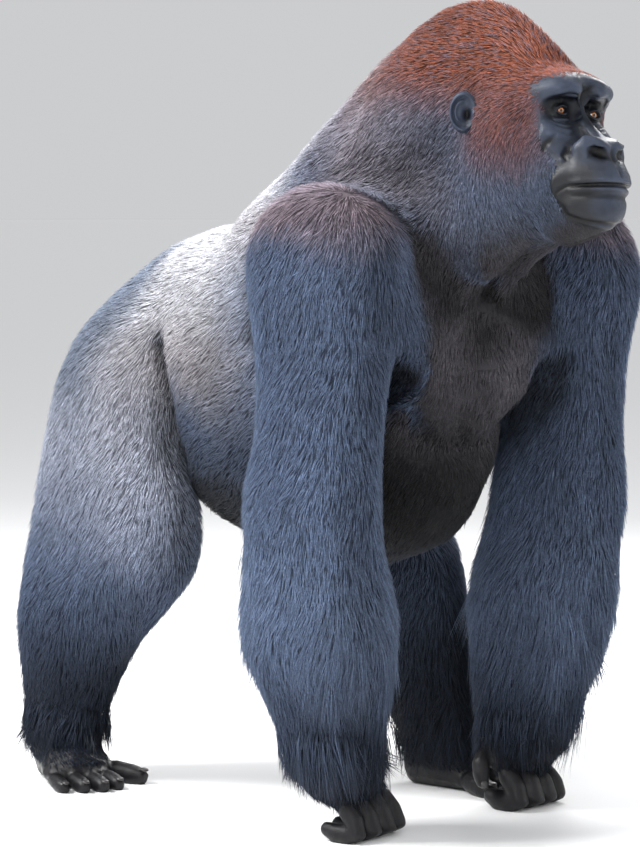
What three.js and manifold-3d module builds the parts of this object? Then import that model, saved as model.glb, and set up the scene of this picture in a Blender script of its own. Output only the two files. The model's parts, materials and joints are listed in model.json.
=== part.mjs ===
// A life-size adult male western lowland gorilla, standing on its knuckles and soles.
// Millimetres, +Z up. The animal faces -Y, its left side is +X, and the floor is z = 0.
//
// The body is a smooth field of flesh: round bars and balls laid along a skeleton and blended together. Each sub-part
// is that field made into a closed mesh in its own box, parted from its neighbours by thin round cuts. Fingers, toes,
// nails, eyes and ears are solids of their own, each seated in a socket of what it grows from.
import * as THREE from "three";
import { SimplifyModifier } from "three/addons/modifiers/SimplifyModifier.js";
import { mergeVertices } from "three/addons/utils/BufferGeometryUtils.js";
import Module from "manifold-3d";

const wasm = await Module();
wasm.setup();

// ---------------------------------------------------------------------------------------------- driving dimensions

const GAP = 0.4; // clearance between sub-parts that touch
const SIDES = { right: -1, left: 1 };
const sides = Object.keys(SIDES);

const SHOULDER_HEIGHT = 975;
const SHOULDER_HALF_WIDTH = 242;
const HIP_HEIGHT = 735;
const HIP_HALF_WIDTH = 158;
const WRIST_HEIGHT = 168;
const ANKLE_HEIGHT = 95;
const EYE_HALF_SPACING = 38;
const EYE_RADIUS = 13;
const EAR_HEIGHT = 64;

const at = (x, y, z) => new THREE.Vector3(x, y, z);
const mirrored = (side, x, y, z) => at(SIDES[side] * x, y, z);

// Joints of each limb. The left hind leg has stepped forward and the right one trails.
const JOINTS = {
  right: {
    shoulder: at(-SHOULDER_HALF_WIDTH, -330, SHOULDER_HEIGHT),
    elbow: at(-292, -346, 515),
    wrist: at(-236, -338, WRIST_HEIGHT),
    hand: at(-216, -366, 0),
    hip: at(-HIP_HALF_WIDTH, 345, HIP_HEIGHT),
    knee: at(-216, 226, 436),
    ankle: at(-246, 434, ANKLE_HEIGHT),
  },
  left: {
    shoulder: at(SHOULDER_HALF_WIDTH + 18, -376, SHOULDER_HEIGHT - 15),
    elbow: at(292, -346, 512),
    wrist: at(230, -316, WRIST_HEIGHT),
    hand: at(212, -322, 0),
    hip: at(HIP_HALF_WIDTH, 285, HIP_HEIGHT - 10),
    knee: at(222, -8, 405),
    ankle: at(246, -84, ANKLE_HEIGHT),
  },
};
const HAND_TURN = { right: 18, left: 10 }; // degrees about +Z
const FOOT_TURN = { right: -6, left: 18 };

// ----------------------------------------------------------------------------------------------- the field of flesh

// A round bar from a to b. wide below 1 makes it narrower along the side direction.
const bar = (a, b, ra, rb, wide = 1, side = at(1, 0, 0)) => {
  const along = b.clone().sub(a);
  const length2 = along.lengthSq();
  const rel = new THREE.Vector3();
  return (p) => {
    rel.copy(p).sub(a);
    const t = THREE.MathUtils.clamp(rel.dot(along) / length2, 0, 1);
    rel.addScaledVector(along, -t);
    rel.addScaledVector(side, rel.dot(side) * (1 / wide - 1));
    return (rel.length() - (ra + (rb - ra) * t)) * Math.min(1, wide);
  };
};

// An ellipsoid with its half-sizes, turned by degrees about X, Y and Z.
const ball = (centre, rx, ry, rz, turn = [0, 0, 0]) => {
  const euler = new THREE.Euler(...turn.map(THREE.MathUtils.degToRad));
  const back = new THREE.Quaternion().setFromEuler(euler).invert();
  const rel = new THREE.Vector3();
  return (p) => {
    rel.copy(p).sub(centre).applyQuaternion(back);
    const near = Math.hypot(rel.x / rx, rel.y / ry, rel.z / rz);
    const slope = Math.hypot(rel.x / rx ** 2, rel.y / ry ** 2, rel.z / rz ** 2);
    return slope > 0 ? (near * (near - 1)) / slope : -Math.min(rx, ry, rz);
  };
};

const blendTwo = (a, b, reach) => {
  const h = Math.max(reach - Math.abs(a - b), 0) / reach;
  return Math.min(a, b) - (h * h * reach) / 4;
};
const blend = (reach, ...shapes) => (p) => shapes.reduce((d, shape) => blendTwo(d, shape(p), reach), 1e6);
const carve = (reach, body, ...tools) => (p) => tools.reduce((d, tool) => -blendTwo(-d, tool(p), reach), body(p));

const trunk = () =>
  blend(
    80,
    ball(at(0, -190, 850), 205, 255, 262), // rib cage
    ball(at(0, -115, 652), 222, 298, 232), // gut
    ball(at(0, 55, 690), 210, 250, 212), // gut, between the thighs
    ball(at(0, 135, 864), 198, 305, 186), // loins
    ball(at(0, 360, 795), 162, 160, 160), // pelvis
    bar(at(0, -30, 1014), at(0, -235, 1102), 124, 142), // hump between the shoulders
    ...sides.flatMap((side) => [
      ball(mirrored(side, 108, -150, 965), 110, 205, 125, [18, 0, 0]), // shoulder blade
      ball(mirrored(side, 165, -30, 790), 88, 230, 180), // flank
      ball(mirrored(side, 88, -410, 840), 98, 60, 118), // breast
      ball(mirrored(side, 98, 398, 748), 114, 134, 152), // buttock
    ]),
  );

const neckAndThroat = () =>
  blend(
    60,
    bar(at(0, -165, 1106), at(0, -385, 1250), 134, 138, 1.03), // nape
    bar(at(0, -300, 975), at(0, -545, 1090), 138, 92), // throat
  );

const arm = (side) => {
  const { shoulder, elbow, wrist } = JOINTS[side];
  const out = SIDES[side];
  const forearm = elbow.clone().lerp(wrist, 0.46).add(at(2 * out, 6, 0));
  const cuff = wrist.clone().add(at(2 * out, -4, -42));
  return blend(
    60,
    ball(shoulder.clone().add(at(4 * out, 5, 5)), 112, 170, 142), // shoulder cap
    bar(shoulder.clone().add(at(0, 0, -50)), elbow.clone().add(at(-4 * out, -4, 70)), 150, 128, 0.72), // upper arm
    bar(elbow.clone().add(at(0, 6, 25)), forearm, 130, 142, 0.83), // elbow to the thick of the forearm
    bar(forearm, wrist.clone().add(at(0, 0, 20)), 136, 96, 0.86), // down to the wrist
    bar(wrist, cuff, 86, 68, 0.84), // coat falling over the wrist
  );
};

const leg = (side) => {
  const { hip, knee, ankle } = JOINTS[side];
  const out = SIDES[side];
  const seat = hip.clone().add(at(14 * out, 68, -78));
  const calf = knee.clone().lerp(ankle, 0.5).add(at(0, side === "right" ? 92 : 52, 12));
  return blend(
    70,
    bar(hip, knee.clone().add(at(0, 8, 14)), 142, 106, 0.82), // thigh
    bar(seat, calf.clone().add(at(0, 12, 60)), 116, 104, 0.85), // hamstrings
    bar(knee, calf, 84, 96, 0.86), // knee to calf
    bar(knee, ankle.clone().add(at(0, -4, 45)), 72, 60, 0.9), // shin
    bar(calf, ankle.clone().add(at(0, 6, 20)), 88, 62, 0.9), // calf to ankle
  );
};

// ---- head: every feature is placed from the point midway between the eyes

const EYE_LINE = at(0, -675, 1226);
const face = (x, forward, up) => at(x, EYE_LINE.y - forward, EYE_LINE.z + up);
const onBothSides = (make) => [1, -1].flatMap(make);

const skull = () =>
  blend(
    50,
    ball(face(0, -158, 36), 104, 156, 112, [8, 0, 0]), // brain case
    bar(face(0, -150, 106), face(0, -222, 136), 46, 50), // crest, at the crown
    bar(face(0, -44, 44), face(0, -150, 96), 34, 44), // crest, running up from the brow
    bar(face(0, -240, 84), face(0, -330, 24), 84, 112), // nape muscle
    ...onBothSides((s) => [
      ball(face(72 * s, -100, -62), 64, 92, 106, [12, 0, 0]), // cheek and jaw muscle
      ball(face(52 * s, -76, 8), 55, 76, 64), // temple
    ]),
    bar(face(0, -60, -130), face(0, -190, -165), 82, 106), // under the jaw
  );

const brow = () =>
  blend(
    16,
    ball(face(0, 8, 52), 66, 34, 26),
    ...onBothSides((s) => [
      bar(face(10 * s, 30, 33), face(48 * s, 22, 36), 16, 18),
      bar(face(48 * s, 22, 35), face(71 * s, -14, 20), 17, 14),
    ]),
  );

const muzzle = () =>
  blend(
    26,
    ball(face(0, 25, -112), 66, 94, 48), // upper jaw
    ball(face(0, 40, -88), 50, 62, 42), // upper lip under the nose
    ball(face(0, 25, -160), 60, 88, 44), // lower jaw
    ball(face(0, 50, -176), 42, 50, 32), // chin
    ball(face(0, -20, -60), 74, 62, 70), // middle of the face
    ...onBothSides((s) => [
      ball(face(52 * s, -6, -34), 36, 30, 26), // cheekbone
      ball(face(58 * s, -20, -112), 38, 68, 60), // corner of the jaw
    ]),
  );

const nose = () =>
  blend(
    14,
    bar(face(0, 22, 8), face(0, 66, -52), 13, 19), // bridge
    ball(face(0, 78, -66), 20, 20, 17), // tip
    ...onBothSides((s) => [
      bar(face(20 * s, 72, -56), face(37 * s, 56, -72), 16, 15), // wing of the nostril
      bar(face(37 * s, 56, -72), face(14 * s, 78, -84), 14, 10), // floor of the nostril
    ]),
  );

// The closed mouth is a shallow groove in an arc round the front of the jaws.
const mouthLine = () => {
  const steps = 8;
  const point = (i) => {
    const turn = THREE.MathUtils.degToRad(-78 + (156 * i) / steps);
    return face(70 * Math.sin(turn), 17 + 99 * Math.cos(turn), -134 - 8 * Math.abs(Math.sin(turn)));
  };
  return Array.from({ length: steps }, (_, i) => bar(point(i), point(i + 1), 4, 4));
};

const head = () =>
  carve(
    9,
    blend(24, skull(), brow(), muzzle(), nose()),
    ...onBothSides((s) => [
      ball(face(EYE_HALF_SPACING * s, 34, 4), 25, 22, 16, [0, 0, 6 * s]), // eye hollow
      ball(face(19 * s, 92, -68), 10, 17, 8, [35, 12 * s, 0]), // nostril
    ]),
    ...mouthLine(),
  );

// ---- hands and feet: each has a frame of its own, standing on the floor. across runs from the thumb or big toe
// towards the little one, ahead runs forward.

const standingFrame = (origin, degrees, side) => {
  const turn = THREE.MathUtils.degToRad(degrees);
  const across = at(Math.cos(turn), Math.sin(turn), 0).multiplyScalar(SIDES[side]);
  const ahead = at(Math.sin(turn), -Math.cos(turn), 0);
  const place = (a, f, up) => origin.clone().addScaledVector(across, a).addScaledVector(ahead, f).setZ(up);
  return Object.assign(place, { across });
};
const handFrame = (side) => standingFrame(JOINTS[side].hand, HAND_TURN[side], side);
const footFrame = (side) => standingFrame(JOINTS[side].ankle, FOOT_TURN[side], side);

const FLESH_SPREAD = 3; // how far flesh reaches under the floor before it is cut flat

const FINGERS = [
  { name: "index", across: -62, reach: 0.93, thick: 19 },
  { name: "middle", across: -20, reach: 1, thick: 20 },
  { name: "ring", across: 21, reach: 0.96, thick: 19 },
  { name: "little", across: 59, reach: 0.84, thick: 17 },
];
// A finger comes down from its knuckle, bends sharply, and carries weight on the back of its middle length.
const fingerPoints = (side, { across, reach, thick }) => {
  const h = handFrame(side);
  const level = thick - FLESH_SPREAD;
  return [
    h(across * 0.9, -2, 92 * reach),
    h(across * 0.96, 30, 54 * reach),
    h(across, 52 * reach, level + 5),
    h(across, 14, level),
    h(across * 0.98, -24, level + 8),
  ];
};
const thumbPoints = (side) => {
  const h = handFrame(side);
  return [h(-52, -22, 108), h(-90, -16, 82), h(-101, -2, 44)];
};
const palm = (side) => {
  const h = handFrame(side);
  const { wrist } = JOINTS[side];
  return blend(
    22,
    bar(wrist, h(0, -6, 118), 46, 42, 1.25, h.across),
    ...FINGERS.map((f) => bar(h(f.across * 0.6, -8, 126), h(f.across * 0.9, -2, 92 * f.reach), 25, f.thick + 4)),
    ball(h(-46, -14, 116), 28, 26, 32), // ball of the thumb
  );
};

const TOES = [
  { name: "second", across: -14, ahead: 160, thick: 15 },
  { name: "third", across: 21, ahead: 165, thick: 15 },
  { name: "fourth", across: 55, ahead: 154, thick: 15 },
  { name: "fifth", across: 87, ahead: 134, thick: 14 },
];
const toePoints = (side, { across, ahead, thick }) => {
  const f = footFrame(side);
  const level = thick - FLESH_SPREAD;
  return [f(across * 0.9, ahead - 50, level + 12), f(across * 0.96, ahead - 14, level + 5), f(across, ahead + 22, level - 2)];
};
const BIG_TOE = { name: "big", thick: 18 };
const bigToePoints = (side) => {
  const f = footFrame(side);
  return [f(-38, 66, 26), f(-66, 112, 18), f(-84, 152, BIG_TOE.thick - FLESH_SPREAD - 2)];
};
const foot = (side) => {
  const f = footFrame(side);
  const { ankle } = JOINTS[side];
  return blend(
    34,
    bar(ankle.clone().add(at(0, 0, 60)), f(0, -6, 78), 54, 50), // ankle
    bar(f(-2, -12, 52), f(0, -46, 34), 44, 36), // heel
    bar(f(0, 10, 62), f(18, 88, 34), 42, 30, 1.2, f.across), // instep
    bar(f(0, -30, 30), f(46, 80, 24), 34, 26), // outer edge
    bar(f(-12, 12, 40), f(-36, 60, 26), 34, 24), // root of the big toe
    ...TOES.map((t) => bar(f(t.across * 0.5, 50, 34), f(t.across * 0.82, t.ahead - 56, 27), 27, t.thick + 5)),
  );
};

// ----------------------------------------------------------------------------- meshes of the field (surface nets)

const corner = (i) => at(i & 1, (i >> 1) & 1, i >> 2);
const CUBE_EDGES = [...Array(8).keys()].flatMap((i) => [1, 2, 4].filter((b) => !(i & b)).map((b) => [i, i | b]));

// One vertex in each cell that the surface crosses, slid onto the surface, and one quad for each crossed grid edge.
// The mesh is then thinned to a number of facets, which its flatter parts give up.
async function surfaceMesh(field, low, high, cell, facets) {
  const [nx, ny, nz] = high.clone().sub(low).divideScalar(cell).ceil().addScalar(1).toArray();
  const index = (x, y, z) => (z * ny + y) * nx + x;
  const value = new Float64Array(nx * ny * nz);
  const everyCell = (to, visit) => {
    for (let z = 0; z < nz - to; z++) for (let y = 0; y < ny - to; y++) for (let x = 0; x < nx - to; x++) visit(x, y, z);
  };
  everyCell(0, (x, y, z) => {
    const edge = !x || !y || !z || x === nx - 1 || y === ny - 1 || z === nz - 1;
    value[index(x, y, z)] = edge ? cell : field(at(x, y, z).multiplyScalar(cell).add(low));
  });
  settle(value, index, everyCell, cell / 100);

  const vertexOf = new Map();
  const positions = [];
  const room = new THREE.Box3(low.clone().addScalar(cell), high.clone().subScalar(cell));
  everyCell(1, (x, y, z) => {
    const v = [...Array(8).keys()].map((i) => value[index(x + (i & 1), y + ((i >> 1) & 1), z + (i >> 2))]);
    const crossed = CUBE_EDGES.filter(([i, j]) => v[i] < 0 !== v[j] < 0);
    if (!crossed.length) return;
    const middle = at(0, 0, 0);
    for (const [i, j] of crossed) middle.add(corner(i).lerp(corner(j), v[i] / (v[i] - v[j])));
    middle.divideScalar(crossed.length).add(at(x, y, z)).multiplyScalar(cell).add(low);
    vertexOf.set(index(x, y, z), positions.length / 3);
    positions.push(...(room.containsPoint(middle) ? slide(middle, field, cell) : middle).toArray());
  });

  const triangles = [];
  const quad = (flip, ...ring) => {
    const [i, j, k, l] = (flip ? ring.reverse() : ring).map((n) => vertexOf.get(n));
    triangles.push(i, j, k, i, k, l);
  };
  everyCell(1, (x, y, z) => {
    const here = index(x, y, z);
    const inside = value[here] < 0;
    const [left, front, below] = [-1, -nx, -nx * ny];
    const crosses = (n) => value[n] < 0 !== inside;
    if (y && z && crosses(here - left)) quad(!inside, here + front + below, here + below, here, here + front);
    if (x && z && crosses(here - front)) quad(!inside, here + left + below, here + left, here, here + below);
    if (x && y && crosses(here - below)) quad(!inside, here + left + front, here + front, here, here + left);
  });
  const geometry = new THREE.BufferGeometry();
  geometry.setAttribute("position", new THREE.Float32BufferAttribute(positions, 3));
  geometry.setIndex(triangles);
  return new SimplifyModifier().modify(geometry, Math.max(0, (positions.length / 3) * (1 - (3 * facets) / triangles.length)));
}

// Where only two diagonal corners of a grid square are inside, the shallower one is let out, so that no edge is shared
// by more than two quads.
function settle(value, index, everyCell, outside) {
  const squares = [[at(1, 0, 0), at(0, 1, 0)], [at(0, 1, 0), at(0, 0, 1)], [at(1, 0, 0), at(0, 0, 1)]];
  for (let again = true; again; ) {
    again = false;
    everyCell(1, (x, y, z) => {
      for (const [a, b] of squares) {
        const ring = [
          index(x, y, z),
          index(x + a.x, y + a.y, z + a.z),
          index(x + a.x + b.x, y + a.y + b.y, z + a.z + b.z),
          index(x + b.x, y + b.y, z + b.z),
        ];
        const [p, q, r, s] = ring.map((n) => value[n] < 0);
        if (p !== r || q !== s || p === q) continue;
        const [one, other] = ring.filter((n) => value[n] < 0);
        value[value[one] > value[other] ? one : other] = outside;
        again = true;
      }
    });
  }
}

// Moves a point near the surface onto it, by at most half of the reach.
function slide(start, field, reach) {
  const step = reach * 0.02;
  const point = start.clone();
  for (let round = 0; round < 3; round++) {
    const here = field(point);
    const slope = at(
      field(point.clone().setX(point.x + step)) - here,
      field(point.clone().setY(point.y + step)) - here,
      field(point.clone().setZ(point.z + step)) - here,
    ).divideScalar(step);
    point.addScaledVector(slope, -here / Math.max(slope.lengthSq(), 0.25));
  }
  return start.clone().add(point.sub(start).clampLength(0, reach / 2));
}

// ------------------------------------------------------------------------------------------------ solids and cuts

const merged = (geometry) => {
  const bare = geometry.clone();
  bare.deleteAttribute("normal");
  bare.deleteAttribute("uv");
  return mergeVertices(bare, 1e-3);
};

function solid(geometry) {
  const { attributes, index } = merged(geometry);
  const mesh = { numProp: 3, vertProperties: attributes.position.array, triVerts: new Uint32Array(index.array) };
  return new wasm.Manifold(new wasm.Mesh(mesh));
}

function geometryOf(made) {
  const { numProp, vertProperties, triVerts } = made.getMesh();
  const points = new Float32Array((vertProperties.length / numProp) * 3);
  for (let i = 0; i < points.length / 3; i++) points.set(vertProperties.subarray(i * numProp, i * numProp + 3), i * 3);
  const geometry = new THREE.BufferGeometry();
  geometry.setAttribute("position", new THREE.BufferAttribute(points, 3));
  return geometry.setIndex(new THREE.BufferAttribute(new Uint32Array(triVerts), 1));
}

// The same closed mesh with its surface moved out by the gap: the socket that it sits in.
function socketFor(geometry) {
  const bigger = merged(geometry);
  bigger.computeVertexNormals();
  const { position, normal } = bigger.attributes;
  for (let i = 0; i < position.count; i++) {
    const outward = at(0, 0, 0).fromBufferAttribute(normal, i);
    const moved = at(0, 0, 0).fromBufferAttribute(position, i).addScaledVector(outward, GAP);
    position.setXYZ(i, ...moved.toArray());
  }
  return solid(bigger);
}

// A round block that takes away all the flesh on one side of a cut: beyond it (+1) or before it (-1).
function beyondCut({ point, facing, radius }, way, depth = 420) {
  const block = new THREE.CylinderGeometry(radius, radius, depth, 24).translate(0, (way * (depth - GAP)) / 2, 0);
  const turn = new THREE.Quaternion().setFromUnitVectors(at(0, 1, 0), facing.clone().normalize());
  return solid(block.applyQuaternion(turn).translate(...point.toArray()));
}

const largest = (made) => made.decompose().sort((a, b) => b.volume() - a.volume())[0];

// The field's mesh in a box, less what lies on the far side of each cut, less the sockets of what sits in it.
async function fleshPart({ field, low, high, cell, facets, trims, sockets = [] }) {
  const whole = solid(await surfaceMesh(field, at(...low), at(...high), cell, facets));
  const blocks = Object.entries(trims).map(([name, way]) => beyondCut(CUTS[name], way));
  return [...blocks, ...sockets].reduce((made, tool) => largest(made.subtract(tool)), whole);
}

// ------------------------------------------------------------------------------------------------------ materials

const finish = (color, roughness) => new THREE.MeshStandardMaterial({ color, roughness, metalness: 0 });
const SLATE_COAT = finish(0x3b4352, 0.9);
const SILVER_COAT = finish(0xa9a7aa, 0.9);
const RUSSET_COAT = finish(0x6e4033, 0.9);
const BARE_SKIN = finish(0x26272b, 0.55);
const EYE_AMBER = finish(0x6a3512, 0.1);
const NAIL_HORN = finish(0x17171a, 0.35);

const gorilla = new THREE.Group();
function add(name, made, material) {
  const mesh = new THREE.Mesh(geometryOf(made), material);
  mesh.name = name;
  gorilla.add(mesh);
}

// --------------------------------------------------------------------------------------------- cuts between parts

const towards = (a, b) => b.clone().sub(a);

// Each cut faces away from the middle of the trunk.
const CUTS = {
  waist: { point: at(0, 60, 750), facing: at(0, 1, 0.1), radius: 480 },
  neck_base: { point: at(0, -320, 1055), facing: at(0, -0.53, 0.848), radius: 330 },
  neck_top: { point: at(0, -440, 1165), facing: at(0, -0.9, 0.42), radius: 330 },
  face: { point: face(0, -20, -50), facing: at(0, -1, 0.1), radius: 260 },
  floor: { point: at(0, 0, -GAP / 2), facing: at(0, 0, -1), radius: 1500 },
};
for (const side of sides) {
  const { shoulder, elbow, wrist, hip, knee, ankle } = JOINTS[side];
  const out = SIDES[side];
  Object.assign(CUTS, {
    ["shoulder_" + side]: { point: at(178 * out, shoulder.y + 10, 955), facing: at(0.92 * out, -0.34, -0.06), radius: 236 },
    ["elbow_" + side]: { point: elbow, facing: towards(shoulder, wrist), radius: 200 },
    ["wrist_" + side]: { point: wrist.clone().add(at(0, -4, -38)), facing: at(0, 0, -1), radius: 130 },
    ["hip_" + side]: { point: at(124 * out, hip.y + 50, 720), facing: at(0.85 * out, 0, -0.52), radius: 264 },
    ["knee_" + side]: { point: knee.clone().add(at(0, 140, -14)), facing: at(0, 0.16, -1), radius: 290 },
    ["ankle_" + side]: { point: ankle.clone().add(at(0, 0, 12)), facing: at(0, 0, -1), radius: 150 },
  });
}

// ------------------------------------------------------------------------------------------------ trunk and neck

const torso = blend(48, trunk(), neckAndThroat(), head());

// Each limb grows out of the trunk near its root, and stands clear of it elsewhere.
const ROOT_BLEND = 70;
const CLEARANCE = 13;
const LIMBS = Object.fromEntries(
  sides.flatMap((side) => [
    ["arm_" + side, { shape: arm(side), root: CUTS["shoulder_" + side], size: 200 }],
    ["leg_" + side, { shape: leg(side), root: CUTS["hip_" + side], size: 222 }],
  ]),
);
// 0 at a limb's root, 1 far from it or far past its cut on the other side from way.
const awayFromRoot = (p, { root, size }, way) => {
  const past = p.clone().sub(root.point).dot(root.facing) * -way;
  return Math.max(
    THREE.MathUtils.smoothstep(p.distanceTo(root.point), size, size * 1.15),
    THREE.MathUtils.smoothstep(past, 45, 110),
  );
};

const torsoFlesh = (p) => {
  let d = torso(p);
  for (const limb of Object.values(LIMBS)) {
    const away = awayFromRoot(p, limb, -1);
    const near = limb.shape(p);
    if (away < 1) d = blendTwo(d, near + away * 400, ROOT_BLEND);
    if (away > 0) d = Math.max(d, CLEARANCE - near - (1 - away) * 80);
  }
  return d;
};
const limbFlesh = (limb) => (p) => {
  const away = awayFromRoot(p, limb, 1);
  return away < 1 ? blendTwo(limb.shape(p), torso(p) + away * 400, ROOT_BLEND) : limb.shape(p);
};

const LIMBS_OFF = { shoulder_right: 1, shoulder_left: 1, hip_right: 1, hip_left: 1 };
const chest = await fleshPart({
  field: torsoFlesh,
  low: [-400, -720, 370],
  high: [400, 200, 1330],
  cell: 40,
  facets: 470,
  trims: { neck_base: 1, waist: 1, ...LIMBS_OFF },
});
const bellyAndRump = await fleshPart({
  field: torsoFlesh,
  low: [-400, -60, 370],
  high: [400, 760, 1200],
  cell: 40,
  facets: 360,
  trims: { waist: -1, ...LIMBS_OFF },
});
const neck = await fleshPart({
  field: torsoFlesh,
  low: [-330, -760, 800],
  high: [330, 40, 1500],
  cell: 36,
  facets: 310,
  trims: { neck_base: -1, neck_top: 1, shoulder_right: 1, shoulder_left: 1 },
});
add("chest", chest, SLATE_COAT);
add("belly_and_rump", bellyAndRump, SILVER_COAT);
add("neck", neck, RUSSET_COAT);

// ---------------------------------------------------------------------------------------------------- head

// An ear is a shallow bowl with a rolled rim, taller than wide and narrowing to the lobe.
function earGeometry(side) {
  const rim = EAR_HEIGHT / 2;
  const section = [[0, -11], [0.5, -9], [0.85, -3], [1, 3.5], [0.92, 8.5], [0.72, 7], [0.48, 0], [0, -3]];
  const ear = new THREE.LatheGeometry(section.map(([r, h]) => new THREE.Vector2(r * rim, h)), 10);
  ear.rotateX(Math.PI / 2);
  const { position } = ear.attributes;
  for (let i = 0; i < position.count; i++) {
    const up = position.getY(i);
    position.setXYZ(i, position.getX(i) * 0.7 * (1 + 0.007 * up), up, position.getZ(i));
  }
  const out = SIDES[side];
  const turn = new THREE.Matrix4().makeBasis(at(0.3, 0.95 * out, 0), at(0, 0, 1), at(0.95 * out, -0.3, 0));
  return ear.applyMatrix4(turn).translate(...face(126 * out, -134, 2).toArray());
}

const eyes = sides.map((side) => {
  const centre = face(SIDES[side] * EYE_HALF_SPACING, 13, 1);
  return new THREE.SphereGeometry(EYE_RADIUS, 8, 6).translate(...centre.toArray());
});
const ears = sides.map(earGeometry);
sides.forEach((side, i) => {
  add("eye_" + side, solid(eyes[i]), EYE_AMBER);
  add("ear_" + side, solid(ears[i]), BARE_SKIN);
});
const crownAndCheeks = await fleshPart({
  field: torso,
  low: [-260, -780, 940],
  high: [260, -200, 1480],
  cell: 30,
  facets: 400,
  trims: { neck_top: -1, face: 1 },
  sockets: [...ears, ...eyes].map(socketFor),
});
const bareFace = await fleshPart({
  field: torso,
  low: [-190, -840, 975],
  high: [190, -610, 1340],
  cell: 12,
  facets: 700,
  trims: { face: -1 },
  sockets: eyes.map(socketFor),
});
add("head", crownAndCheeks, RUSSET_COAT);
add("face", bareFace, BARE_SKIN);

// ------------------------------------------------------------------------------------------------ limbs and digits

// The box that holds some points, with room round them.
const around = (room, ...points) => {
  const box = new THREE.Box3().setFromPoints(points).expandByScalar(room);
  return { low: box.min.toArray(), high: box.max.toArray() };
};

// A digit is a turned rod with round ends, bent along its joints.
function digitGeometry(points, radii) {
  const curve = new THREE.CatmullRomCurve3(points, false, "centripetal");
  const length = curve.getLength();
  const rings = points.length + 1;
  const profile = [new THREE.Vector2(0, 0)];
  for (let i = 0; i <= rings; i++) {
    const place = (i / rings) * (radii.length - 1);
    const from = Math.min(Math.floor(place), radii.length - 2);
    const r = THREE.MathUtils.lerp(radii[from], radii[from + 1], place - from);
    const fromEnd = (Math.min(i, rings - i) / rings) * length;
    const inset = Math.max(0, 0.75 - fromEnd / r);
    profile.push(new THREE.Vector2(r * Math.sqrt(1 - inset * inset), i / rings));
  }
  profile.push(new THREE.Vector2(0, 1));
  const digit = new THREE.LatheGeometry(profile, 7);
  const across = towards(points[0], points.at(-1)).cross(at(0, 0, 1)).normalize();
  const { position } = digit.attributes;
  for (let i = 0; i < position.count; i++) {
    const t = THREE.MathUtils.clamp(position.getY(i), 0, 1);
    const along = curve.getTangent(t);
    const side = across.clone().addScaledVector(along, -across.dot(along)).normalize();
    const up = side.clone().cross(along);
    const place = curve.getPoint(t).addScaledVector(side, position.getX(i)).addScaledVector(up, position.getZ(i));
    position.setXYZ(i, ...place.toArray());
  }
  return digit;
}

// A nail is a thin curved plate on the top of a digit's end.
function nailGeometry([joint, tip], thick) {
  const ahead = towards(joint, tip).normalize();
  const across = ahead.clone().cross(at(0, 0, 1)).normalize();
  const up = across.clone().cross(ahead);
  const section = [[0, -0.3], [1, -0.05], [0.7, 0.28], [0, 0.34]];
  const plate = new THREE.LatheGeometry(section.map(([r, h]) => new THREE.Vector2(r, h)), 7);
  plate.scale(thick * 0.62, thick * 0.8, thick * 0.62);
  const turn = new THREE.Matrix4().makeBasis(ahead, up, across);
  const place = tip.clone().addScaledVector(ahead, -thick * 0.1).addScaledVector(up, thick * 0.86);
  return plate.applyMatrix4(turn).translate(...place.toArray());
}

// Adds a digit, with a nail if its nail's size is given, and returns the socket it sits in.
function addDigit(name, points, radii, nail) {
  const geometry = digitGeometry(points, radii);
  const rod = solid(geometry).subtract(beyondCut(CUTS.floor, 1));
  if (nail) {
    const plate = nailGeometry(points.slice(-2), nail);
    add(name, rod.subtract(socketFor(plate)), BARE_SKIN);
    add("nail_" + name, solid(plate), NAIL_HORN);
  } else {
    add(name, rod, BARE_SKIN);
  }
  return socketFor(geometry);
}

for (const side of sides) {
  const { shoulder, elbow, wrist, hip, knee, ankle } = JOINTS[side];
  const limbPart = (limb, facets, upper, lower, box) => {
    const trims = { [upper + "_" + side]: -1, [lower + "_" + side]: 1 };
    return fleshPart({ field: limbFlesh(LIMBS[limb + "_" + side]), ...box, cell: 36, facets, trims });
  };
  add("upper_arm_" + side, await limbPart("arm", 260, "shoulder", "elbow", around(260, shoulder, elbow)), SLATE_COAT);
  add("forearm_" + side, await limbPart("arm", 170, "elbow", "wrist", around(200, elbow, wrist)), SLATE_COAT);
  add("thigh_" + side, await limbPart("leg", 290, "hip", "knee", around(330, hip, knee)), SILVER_COAT);
  add("lower_leg_" + side, await limbPart("leg", 180, "knee", "ankle", around(220, knee, ankle)), SLATE_COAT);

  const fingers = FINGERS.map((finger) => {
    const { name, thick } = finger;
    return addDigit("finger_" + name + "_" + side, fingerPoints(side, finger), [thick - 3, thick - 1, thick, thick, thick - 3]);
  });
  const thumb = addDigit("thumb_" + side, thumbPoints(side), [17, 16, 13], 13);
  const h = handFrame(side);
  const hand = await fleshPart({
    field: blend(30, arm(side), palm(side)),
    ...around(40, h(-90, -60, 40), h(90, 60, 200), h(-90, 60, 60), h(90, -60, 60)),
    cell: 18,
    facets: 150,
    trims: { ["wrist_" + side]: -1 },
    sockets: [...fingers, thumb],
  });
  add("hand_" + side, hand, BARE_SKIN);

  const toes = TOES.map((toe) => {
    const { name, thick } = toe;
    return addDigit("toe_" + name + "_" + side, toePoints(side, toe), [thick - 2, thick - 1, thick], thick);
  });
  const bigToe = addDigit("toe_big_" + side, bigToePoints(side), [20, 19, BIG_TOE.thick], BIG_TOE.thick);
  const f = footFrame(side);
  const sole = await fleshPart({
    field: blend(34, leg(side), foot(side)),
    ...around(55, f(0, -90, 0), f(0, 130, 140), f(90, 100, 0), f(-70, 60, 0)),
    cell: 18,
    facets: 180,
    trims: { ["ankle_" + side]: -1, floor: 1 },
    sockets: [...toes, bigToe],
  });
  add("foot_" + side, sole, BARE_SKIN);
}

// The origin is on the floor, under the middle of the animal.
const middle = new THREE.Box3().setFromObject(gorilla).getCenter(at(0, 0, 0));
gorilla.position.set(-middle.x, -middle.y, 0);

export default gorilla;
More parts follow.
